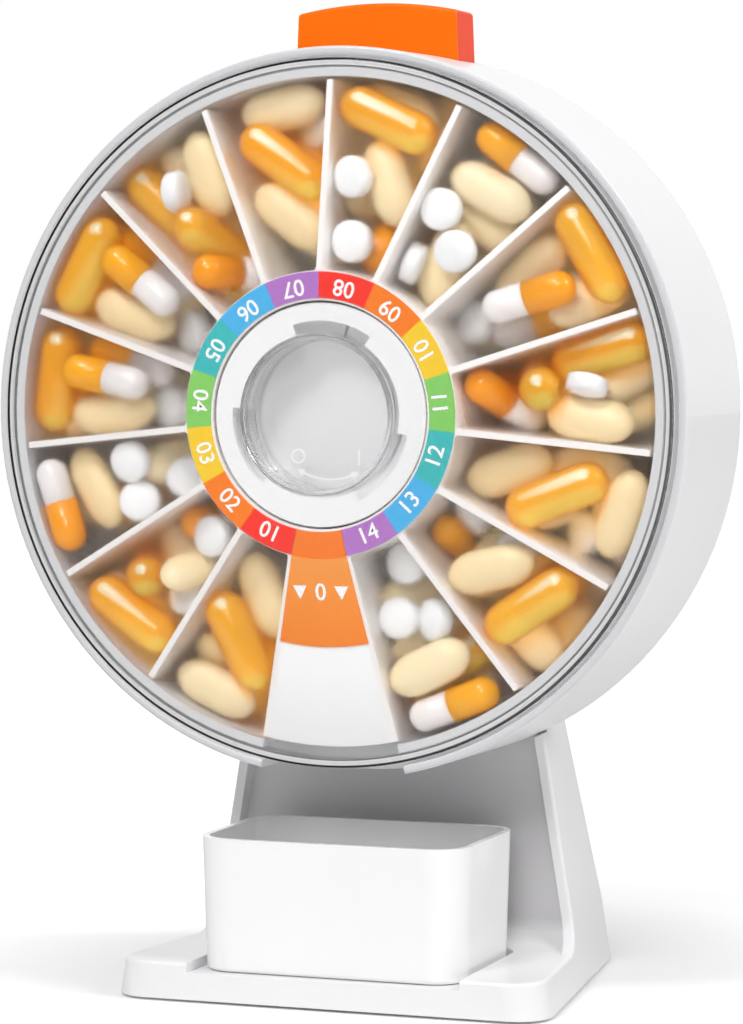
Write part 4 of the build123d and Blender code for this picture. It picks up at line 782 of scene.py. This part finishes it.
# For each compartment: kind, place across and up as seen through the front plane, depth,
# turn of the long axis from +X, and its dip to the back. Millimetres and degrees.
DOSES = {
    1: (
        (CAPLET, -19, -38, 4, -66, 0), (SOFTGEL, -25.5, -50.5, 2, -66, 0),
        (CAPLET, -28.5, -62, 5, -22, 0), (SOFTGEL, -17.5, -55.5, 10, 60, 0),
    ),
    2: (
        (SOFTGEL, -47.5, -36.5, 4, -35, -65), (SOFTGEL, -42.5, -44, 6, -35, 0),
        (CAPLET, -40, -31, 6, -60, 0), (TABLET, -35, -38, 3, -20, 60),
        (TABLET, -28.5, -26.5, 5, 0, 70), (CAPLET, -32, -31.5, 9, 40, 50),
        (CAPSULE, -31, -21, 11, 150, -30), (CAPLET, -51, -44, 10, -35, 20),
    ),
    3: (
        (CAPSULE, -64.5, -20.5, 3, -73, 0), (CAPLET, -57, -17, 5, -54, 0),
        (TABLET, -47, -10.75, 4, 60, 75), (TABLET, -47, -20, 2, 240, 75),
        (TABLET, -35, -15, 5, 200, 60), (SOFTGEL, -42, -14, 11, 60, 20),
        (CAPLET, -37, -7.5, 10, 20, 40),
    ),
    4: (
        (SOFTGEL, -69.5, 7.5, 6, 85, 0), (CAPSULE, -55, 7, 2, 168, 0),
        (CAPSULE, -47.5, 11.5, 8, 162, 0), (CAPLET, -53, -1, 4, 7, 0),
        (TABLET, -38.5, 2, 12, 0, 70), (SOFTGEL, -60, 8, 13, 30, 0),
    ),
    5: (
        (SOFTGEL, -61.5, 34.5, 6, 63, 0), (SOFTGEL, -56, 29.5, 13, 60, 0),
        (CAPSULE, -47, 29.5, 2, 142, 0), (CAPLET, -47.5, 22, 5, -18, 0),
        (CAPSULE, -43, 33, 9, 138, 0), (TABLET, -33, 18, 12, 0, 60),
    ),
    6: (
        (CAPLET, -31, 60, 13, -60, 0), (CAPLET, -36.5, 55.5, 9, -30, 0),
        (CAPLET, -30, 52, 8, -70, 0), (TABLET, -35, 48.5, 3, 185, 10),
        (SOFTGEL, -42, 46, 4, -49, 0), (SOFTGEL, -27.5, 37.5, 8, 135, -35),
        (CAPSULE, -23.75, 28.25, 6, 200, -35),
    ),
    7: (
        (CAPLET, -13.5, 67.5, 4, 17, 0), (TABLET, -5.5, 62.5, 9, 0, 60),
        (SOFTGEL, -12.5, 57, 3, -36, 0), (SOFTGEL, -12, 53, 10, -36, 0),
        (CAPLET, -10.5, 43, 5, -38, 0), (CAPLET, -8.5, 33.5, 12, -10, 0),
    ),
    8: (
        (SOFTGEL, 11, 61.5, 5, -26, 0), (CAPLET, 15, 67, 11, -20, 0),
        (CAPLET, 24, 63.5, 12, 70, 0), (TABLET, 4, 51.5, 4, 0, 85),
        (TABLET, 4.5, 37.5, 3, 0, 85), (CAPLET, 13, 49.5, 4, -70, 0),
        (CAPSULE, 10, 35.5, 6, 240, -20), (CAPLET, 6.5, 44.5, 11, 0, 40),
    ),
    9: (
        (CAPSULE, 41.25, 55, 5, 142, 0), (CAPLET, 35.5, 48, 4, -28, 0),
        (TABLET, 25.25, 43.5, 3, 0, 80), (TABLET, 28.75, 35.25, 2, 0, 85),
        (TABLET, 18.75, 32.5, 6, -25, 20), (CAPLET, 23, 29, 5, 70, 0),
        (CAPLET, 33, 39, 9, -30, 0), (SOFTGEL, 22.5, 37.5, 12, 60, 20),
    ),
    10: (
        (SOFTGEL, 58, 35, 3, -60, 0), (CAPLET, 43, 32.5, 8, 45, 0),
        (CAPSULE, 45.25, 24.75, 3, 15, 0), (CAPSULE, 45.5, 19.5, 8, 12, 0),
        (CAPLET, 57.5, 24.5, 10, 30, 30),
    ),
    11: (
        (CAPSULE, 35, 6.5, 5, 140, -30), (SOFTGEL, 58.5, 13.5, 5, 13, 0),
        (SOFTGEL, 46.5, 5, 7, -40, -50), (TABLET, 57, 4.75, 2, 76, 20),
        (CAPLET, 65, 5.5, 7, 30, 30), (CAPLET, 55.5, -1.5, 3, -12, 0),
        (CAPLET, 68, -2, 6, 30, 20),
    ),
    12: (
        (CAPLET, 40, -12.5, 5, 19, 0), (SOFTGEL, 51.5, -18.5, 2, 21, 0),
        (CAPLET, 64.5, -20.5, 3, 70, 0), (CAPLET, 58, -9.5, 9, -10, 0),
        (TABLET, 55.5, -27, 12, 0, 60), (SOFTGEL, 35, -7.5, 12, 20, 0),
    ),
    13: (
        (TABLET, 28.75, -24, 8, 0, 80), (CAPSULE, 24, -27, 10, 130, -30),
        (TABLET, 40.25, -29.5, 5, 0, 75), (CAPLET, 34.5, -27.5, 11, 60, 20),
        (CAPLET, 34.5, -35, 4, 14, 0), (SOFTGEL, 50.5, -38, 6, 35, 0),
        (SOFTGEL, 41, -43.5, 3, 35, -20), (CAPLET, 51, -47, 10, 40, 20),
        (CAPLET, 44.5, -49, 8, -45, 0),
    ),
    14: (
        (CAPLET, 11.5, -35.5, 9, 20, 0), (TABLET, 17.5, -32, 7, 0, 80),
        (TABLET, 13.5, -44.5, 3, 0, 85), (TABLET, 22.5, -44.5, 3, 0, 55),
        (CAPLET, 20.75, -55, 4, 26, 0), (SOFTGEL, 29, -53.5, 10, 40, 0),
        (CAPSULE, 27.5, -63, 3, 20, 0),
    ),
}
# Balls that stand for each kind while it settles: radius, and centres along and across.
SOLID_BALLS = {
    SOFTGEL: (4.7, [(0, 0, s) for s in (-7.1, -2.4, 2.4, 7.1)]),
    CAPSULE: (3.85, [(0, 0, s) for s in (-7.1, -3.6, 0, 3.6, 7.1)]),
    CAPLET: (3.3, [(t, 0, s) for t in (-1.5, 1.5) for s in (-6, -2, 2, 6)]),
    TABLET: (2.4, [(2.2 * math.cos(a), 2.2 * math.sin(a), 0) for a in np.arange(6) * math.pi / 3]),
}
CELL_INNER = 31.4
CELL_OUTER = 73.1
CELL_BACK = 21.0
HALF_DIVIDER = 0.75
COVER_FACE = -8.45             # depth of the cover's inner face beside the hub
COVER_GAP = 0.2
FRONT_PLANE = 3.0
FULL_CELL = 10                 # pills in each compartment, the hidden ones at its back
FIRM = 0.1                     # how easily a pill in front gives way, and one at the back
EASY = 1.0
PULL_HOME = 0.04               # share of the way back to its place, in each step of the first part
SINK = 0.03                    # drop of a pill at the back in each of those steps
PULL_TURN = 0.08               # share of the way back to its turn, in every step
PULLED_PART = 0.7
BEHIND = (13, 17)              # depths of the hidden pills, and their radii
BEHIND_REACH = (38, 66)
fate = random.Random(11)


def seen_at(across, height, depth):
    """Point at a depth on the camera's line of sight through a point of the front plane."""
    eye = np.array(camera.location) * 1000 - (0, FRONT_LIP * 1000, AXIS_HEIGHT * 1000)
    near = np.array((across, FRONT_PLANE, height), float)
    return near + (near - eye) * (depth - FRONT_PLANE) / (near[1] - eye[1])


def pose(turn, dip):
    """Rotation that lays a pill's long axis in a direction, with its broad side in front."""
    turn, dip = math.radians(turn), math.radians(dip)
    axis = Vector((math.cos(dip) * math.cos(turn), math.sin(dip), math.cos(dip) * math.sin(turn)))
    side = axis.cross(Vector((0, -1, 0)) if abs(axis.y) < 0.9 else Vector((0, 0, 1))).normalized()
    return np.array(Matrix((side, axis.cross(side), axis)).transposed())


def settle(kinds, places, poses, ease, heading, rounds=300):
    """Pushes the pills of one compartment apart and off its walls, and lets easy ones sink."""
    home = places.copy()
    laid = poses.copy()
    owner = np.concatenate([[i] * len(SOLID_BALLS[k][1]) for i, k in enumerate(kinds)])
    radius = np.concatenate([[SOLID_BALLS[k][0]] * len(SOLID_BALLS[k][1]) for k in kinds])
    shape = np.concatenate([SOLID_BALLS[k][1] for k in kinds]).astype(float)
    share = np.eye(len(kinds))[owner]
    apart = owner[:, None] != owner[None, :]
    loose = ease[owner]
    give = loose[:, None] / (loose[:, None] + loose[None, :])
    sides = [math.radians(heading + s * PITCH / 2) for s in (-1, 1)]
    inward = [np.array((-s * math.sin(a), s * math.cos(a))) for s, a in zip((1, -1), sides)]
    count = share.sum(0)
    for step in range(rounds):
        if step < rounds * PULLED_PART:
            places = places + (1 - ease[:, None]) * (home - places) * (PULL_HOME, 0.0, PULL_HOME)
            places[:, 2] -= SINK * ease
        offset = np.einsum("bij,bj->bi", poses[owner], shape)
        upright = np.einsum("bij,bj->bi", laid[owner], shape) - offset
        balls = places[owner] + offset + PULL_TURN * (1 - loose[:, None]) * upright
        gap = balls[:, None] - balls[None, :]
        far = np.linalg.norm(gap, axis=2) + 1e-9
        press = np.clip(radius[:, None] + radius[None, :] - far, 0, None) * apart * give
        balls += 0.5 * (gap / far[..., None] * press[..., None]).sum(1)
        for normal in inward:
            short = radius + HALF_DIVIDER - balls[:, [0, 2]] @ normal
            balls[:, [0, 2]] += np.clip(short, 0, None)[:, None] * normal
        reach = np.hypot(balls[:, 0], balls[:, 2])
        kept = np.clip(reach, CELL_INNER + radius, CELL_OUTER - radius)
        balls[:, [0, 2]] *= (kept / reach)[:, None]
        lens = COVER_FACE + CONE * (kept - HUB_RADIUS * 1000) + COVER_GAP
        balls[:, 1] = np.clip(balls[:, 1], lens + radius, CELL_BACK - radius)
        places = share.T @ balls / count[:, None]
        spread = np.einsum("bp,bi,bj->pij", share, balls - places[owner], shape)
        left, _, right = np.linalg.svd(spread)
        flip = np.sign(np.linalg.det(left @ right))
        left[:, :, 2] *= flip[:, None]
        poses = left @ right
    return places, poses


def pill_heap_tree():
    """Geometry nodes that lay a straight-sided pill with two domes on every point."""
    labels = ("Radius", "Squash", "Top", "Top Dome", "Bottom", "Bottom Dome")
    sizes = [(label, "Float") for label in labels]
    tree, given = mesh_tree("pill_heap", *sizes, ("Seed", "Int"), ("Finish", "Material"))
    ball = node(tree, "GeometryNodeMeshUVSphere", {"Segments": 20, "Rings": 13, "Radius": 1.0})
    spot = node(tree, "GeometryNodeInputPosition").outputs[0]
    part = node(tree, "ShaderNodeSeparateXYZ", {0: spot}).outputs
    upper = math_node(tree, "GREATER_THAN", part["Z"], 0.0)
    domes = {0: upper, 2: given["Bottom Dome"], 3: given["Top Dome"]}
    dome = node(tree, "ShaderNodeMix", domes).outputs[0]
    below = math_node(tree, "MULTIPLY", given["Bottom"], -1.0)
    shift = node(tree, "ShaderNodeMix", {0: upper, 2: below, 3: given["Top"]}).outputs[0]
    tall = math_node(tree, "MULTIPLY", math_node(tree, "MULTIPLY", part["Z"], given["Radius"]), dome)
    depth = math_node(tree, "MULTIPLY", given["Radius"], given["Squash"])
    stretched = {
        "X": math_node(tree, "MULTIPLY", part["X"], given["Radius"]),
        "Y": math_node(tree, "MULTIPLY", part["Y"], depth),
        "Z": math_node(tree, "ADD", tall, shift),
    }
    position = node(tree, "ShaderNodeCombineXYZ", stretched).outputs[0]
    moved = {"Geometry": ball.outputs["Mesh"], "Position": position}
    shaped = node(tree, "GeometryNodeSetPosition", moved)
    smooth = node(tree, "GeometryNodeSetShadeSmooth", {"Geometry": shaped.outputs[0]})
    turn = node(tree, "GeometryNodeInputNamedAttribute", {"Name": "turn"}, data_type="QUATERNION")
    laid = node(
        tree,
        "GeometryNodeInstanceOnPoints",
        {"Points": given["Geometry"], "Instance": smooth.outputs[0], "Rotation": turn.outputs[0]},
    )
    tint = node(tree, "FunctionNodeRandomValue", {"Seed": given["Seed"]}, data_type="FLOAT")
    tinted = node(
        tree,
        "GeometryNodeStoreNamedAttribute",
        {"Geometry": laid.outputs[0], "Name": "pill_tint", "Value": tint.outputs[1]},
        data_type="FLOAT",
        domain="INSTANCE",
    )
    return close_tree(tree, tinted.outputs[0], given["Finish"])


pill_heap = pill_heap_tree()


def heap(name, pills, finish, slot, **sizes):
    """All pills of one kind as a plain mesh that rides on the wheel."""
    points = bpy.data.meshes.new(name)
    points.from_pydata([on_axis(x * 0.001, z * 0.001, y * 0.001) for (x, y, z), _ in pills], [], [])
    turns = points.attributes.new("turn", "QUATERNION", "POINT")
    for item, (_, laid) in zip(turns.data, pills):
        item.value = Matrix(laid.tolist()).to_quaternion()
    values = {"Seed": len(name), "Finish": finish}
    values.update({label.replace("_", " ").title(): size for label, size in sizes.items()})
    made = grown(name, points, pill_heap, values)
    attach(made, "wheel")


heaps = {SOFTGEL: [], CAPSULE: [], CAPLET: [], TABLET: []}
for dose, rows in DOSES.items():
    heading = DOWN - PITCH * dose
    kinds = [row[0] for row in rows]
    places = [seen_at(*row[1:4]) for row in rows]
    poses = [pose(*row[4:]) for row in rows]
    while len(kinds) < FULL_CELL:
        kinds.append(fate.choice((CAPSULE, CAPLET, CAPLET, TABLET, TABLET)))
        turn = math.radians(heading + fate.uniform(-5, 5))
        reach = fate.uniform(*BEHIND_REACH)
        spot = (reach * math.cos(turn), fate.uniform(*BEHIND), reach * math.sin(turn))
        places.append(np.array(spot))
        poses.append(pose(fate.uniform(0, 180), fate.uniform(-25, 25)))
    ease = np.array([FIRM] * len(rows) + [EASY] * (FULL_CELL - len(rows)))
    places, poses = settle(kinds, np.array(places), np.array(poses), ease, heading)
    for kind, place, laid in zip(kinds, places, poses):
        heaps[kind].append((place, laid))


def pill_skin(tree, colour, shade, rough, speck):
    """Colour, roughness and normal of a pill: fine powder grain and a tint of its own."""
    own = node(tree, "ShaderNodeAttribute", attribute_name="pill_tint").outputs["Fac"]
    return blend(tree, own, paint(colour), paint(shade)), moulded(tree, rough, 2600.0, speck, 0.0)


def solid_pill(name, colour, shade, rough, speck, glow):
    """Opaque pill material with a little light scattered under its coat."""
    material, tree = blank_material(name)
    base, face = pill_skin(tree, colour, shade, rough, speck)
    coated(tree, face, base, Subsurface_Weight=glow, Subsurface_Scale=0.002)
    return material


def painted_light_mask(tree, heading, start, end):
    """How far a face turns to a heading, from 0 to 1: a mask for painted light on the gel."""
    normal = node(tree, "ShaderNodeNewGeometry").outputs["Normal"]
    turned = node(tree, "ShaderNodeVectorMath", {0: normal, 1: heading}, operation="DOT_PRODUCT")
    return span(tree, turned.outputs["Value"], start, end, interpolation_type="SMOOTHSTEP")


amber_gel, tree = blank_material("amber_gel")
heart, face = pill_skin(tree, "FFC030", "FFB222", 0.08, 0.0)
# Painted light on the gel: a painted yellow glow on the side away from the key lamp, a painted
# highlight streak on the side towards the lamp and the camera, and painted darker orange shade
# towards the outline.
glow_side = painted_light_mask(tree, (0.3, -0.55, -0.78), 0.55, 0.95)
upper = painted_light_mask(tree, (0.05, -0.86, 0.5), 0.93, 0.985)
lit = blend(tree, glow_side, heart, paint("FFE05A"))
glint = blend(tree, upper, lit, paint("FFF6CC"))
turned = node(tree, "ShaderNodeLayerWeight", {"Blend": 0.3}).outputs["Facing"]
base = blend(tree, span(tree, turned, 0.2, 0.7), glint, paint("DA8006"))
clear(tree, base, face["Roughness"], face["Normal"], (1.0, 0.75, 0.3, 1), 0.3, 1.0)
heap("softgels", heaps[SOFTGEL], amber_gel, "clear_plastic",
     radius=0.0048, squash=1.0, top=0.0066, top_dome=1.1, bottom=0.0066, bottom_dome=1.1)
cap_orange = solid_pill("cap_orange", "FFB20C", "FF9C04", 0.16, 0.02, 0.1)
heap("capsule_caps", heaps[CAPSULE], cap_orange, "button_orange",
     radius=0.00385, squash=1.0, top=0.0069, top_dome=1.0, bottom=0.0004, bottom_dome=0.04)
body_white = solid_pill("body_white", "F8F3F1", "F2ECEA", 0.22, 0.02, 0.15)
heap("capsule_bodies", heaps[CAPSULE], body_white, "wheel_white",
     radius=0.00365, squash=1.0, top=0.001, top_dome=0.04, bottom=0.0069, bottom_dome=1.0)
cream = solid_pill("cream", "FFEBC4", "F7DCA8", 0.42, 0.08, 0.2)
heap("caplets", heaps[CAPLET], cream, "wheel_white",
     radius=0.0048, squash=0.69, top=0.0032, top_dome=1.4, bottom=0.0032, bottom_dome=1.4)
chalk = solid_pill("chalk", "FAFAFA", "F2F2F3", 0.6, 0.12, 0.1)
heap("tablets", heaps[TABLET], chalk, "wheel_white",
     radius=0.0046, squash=1.0, top=0.0011, top_dome=0.3, bottom=0.0011, bottom_dome=0.3)
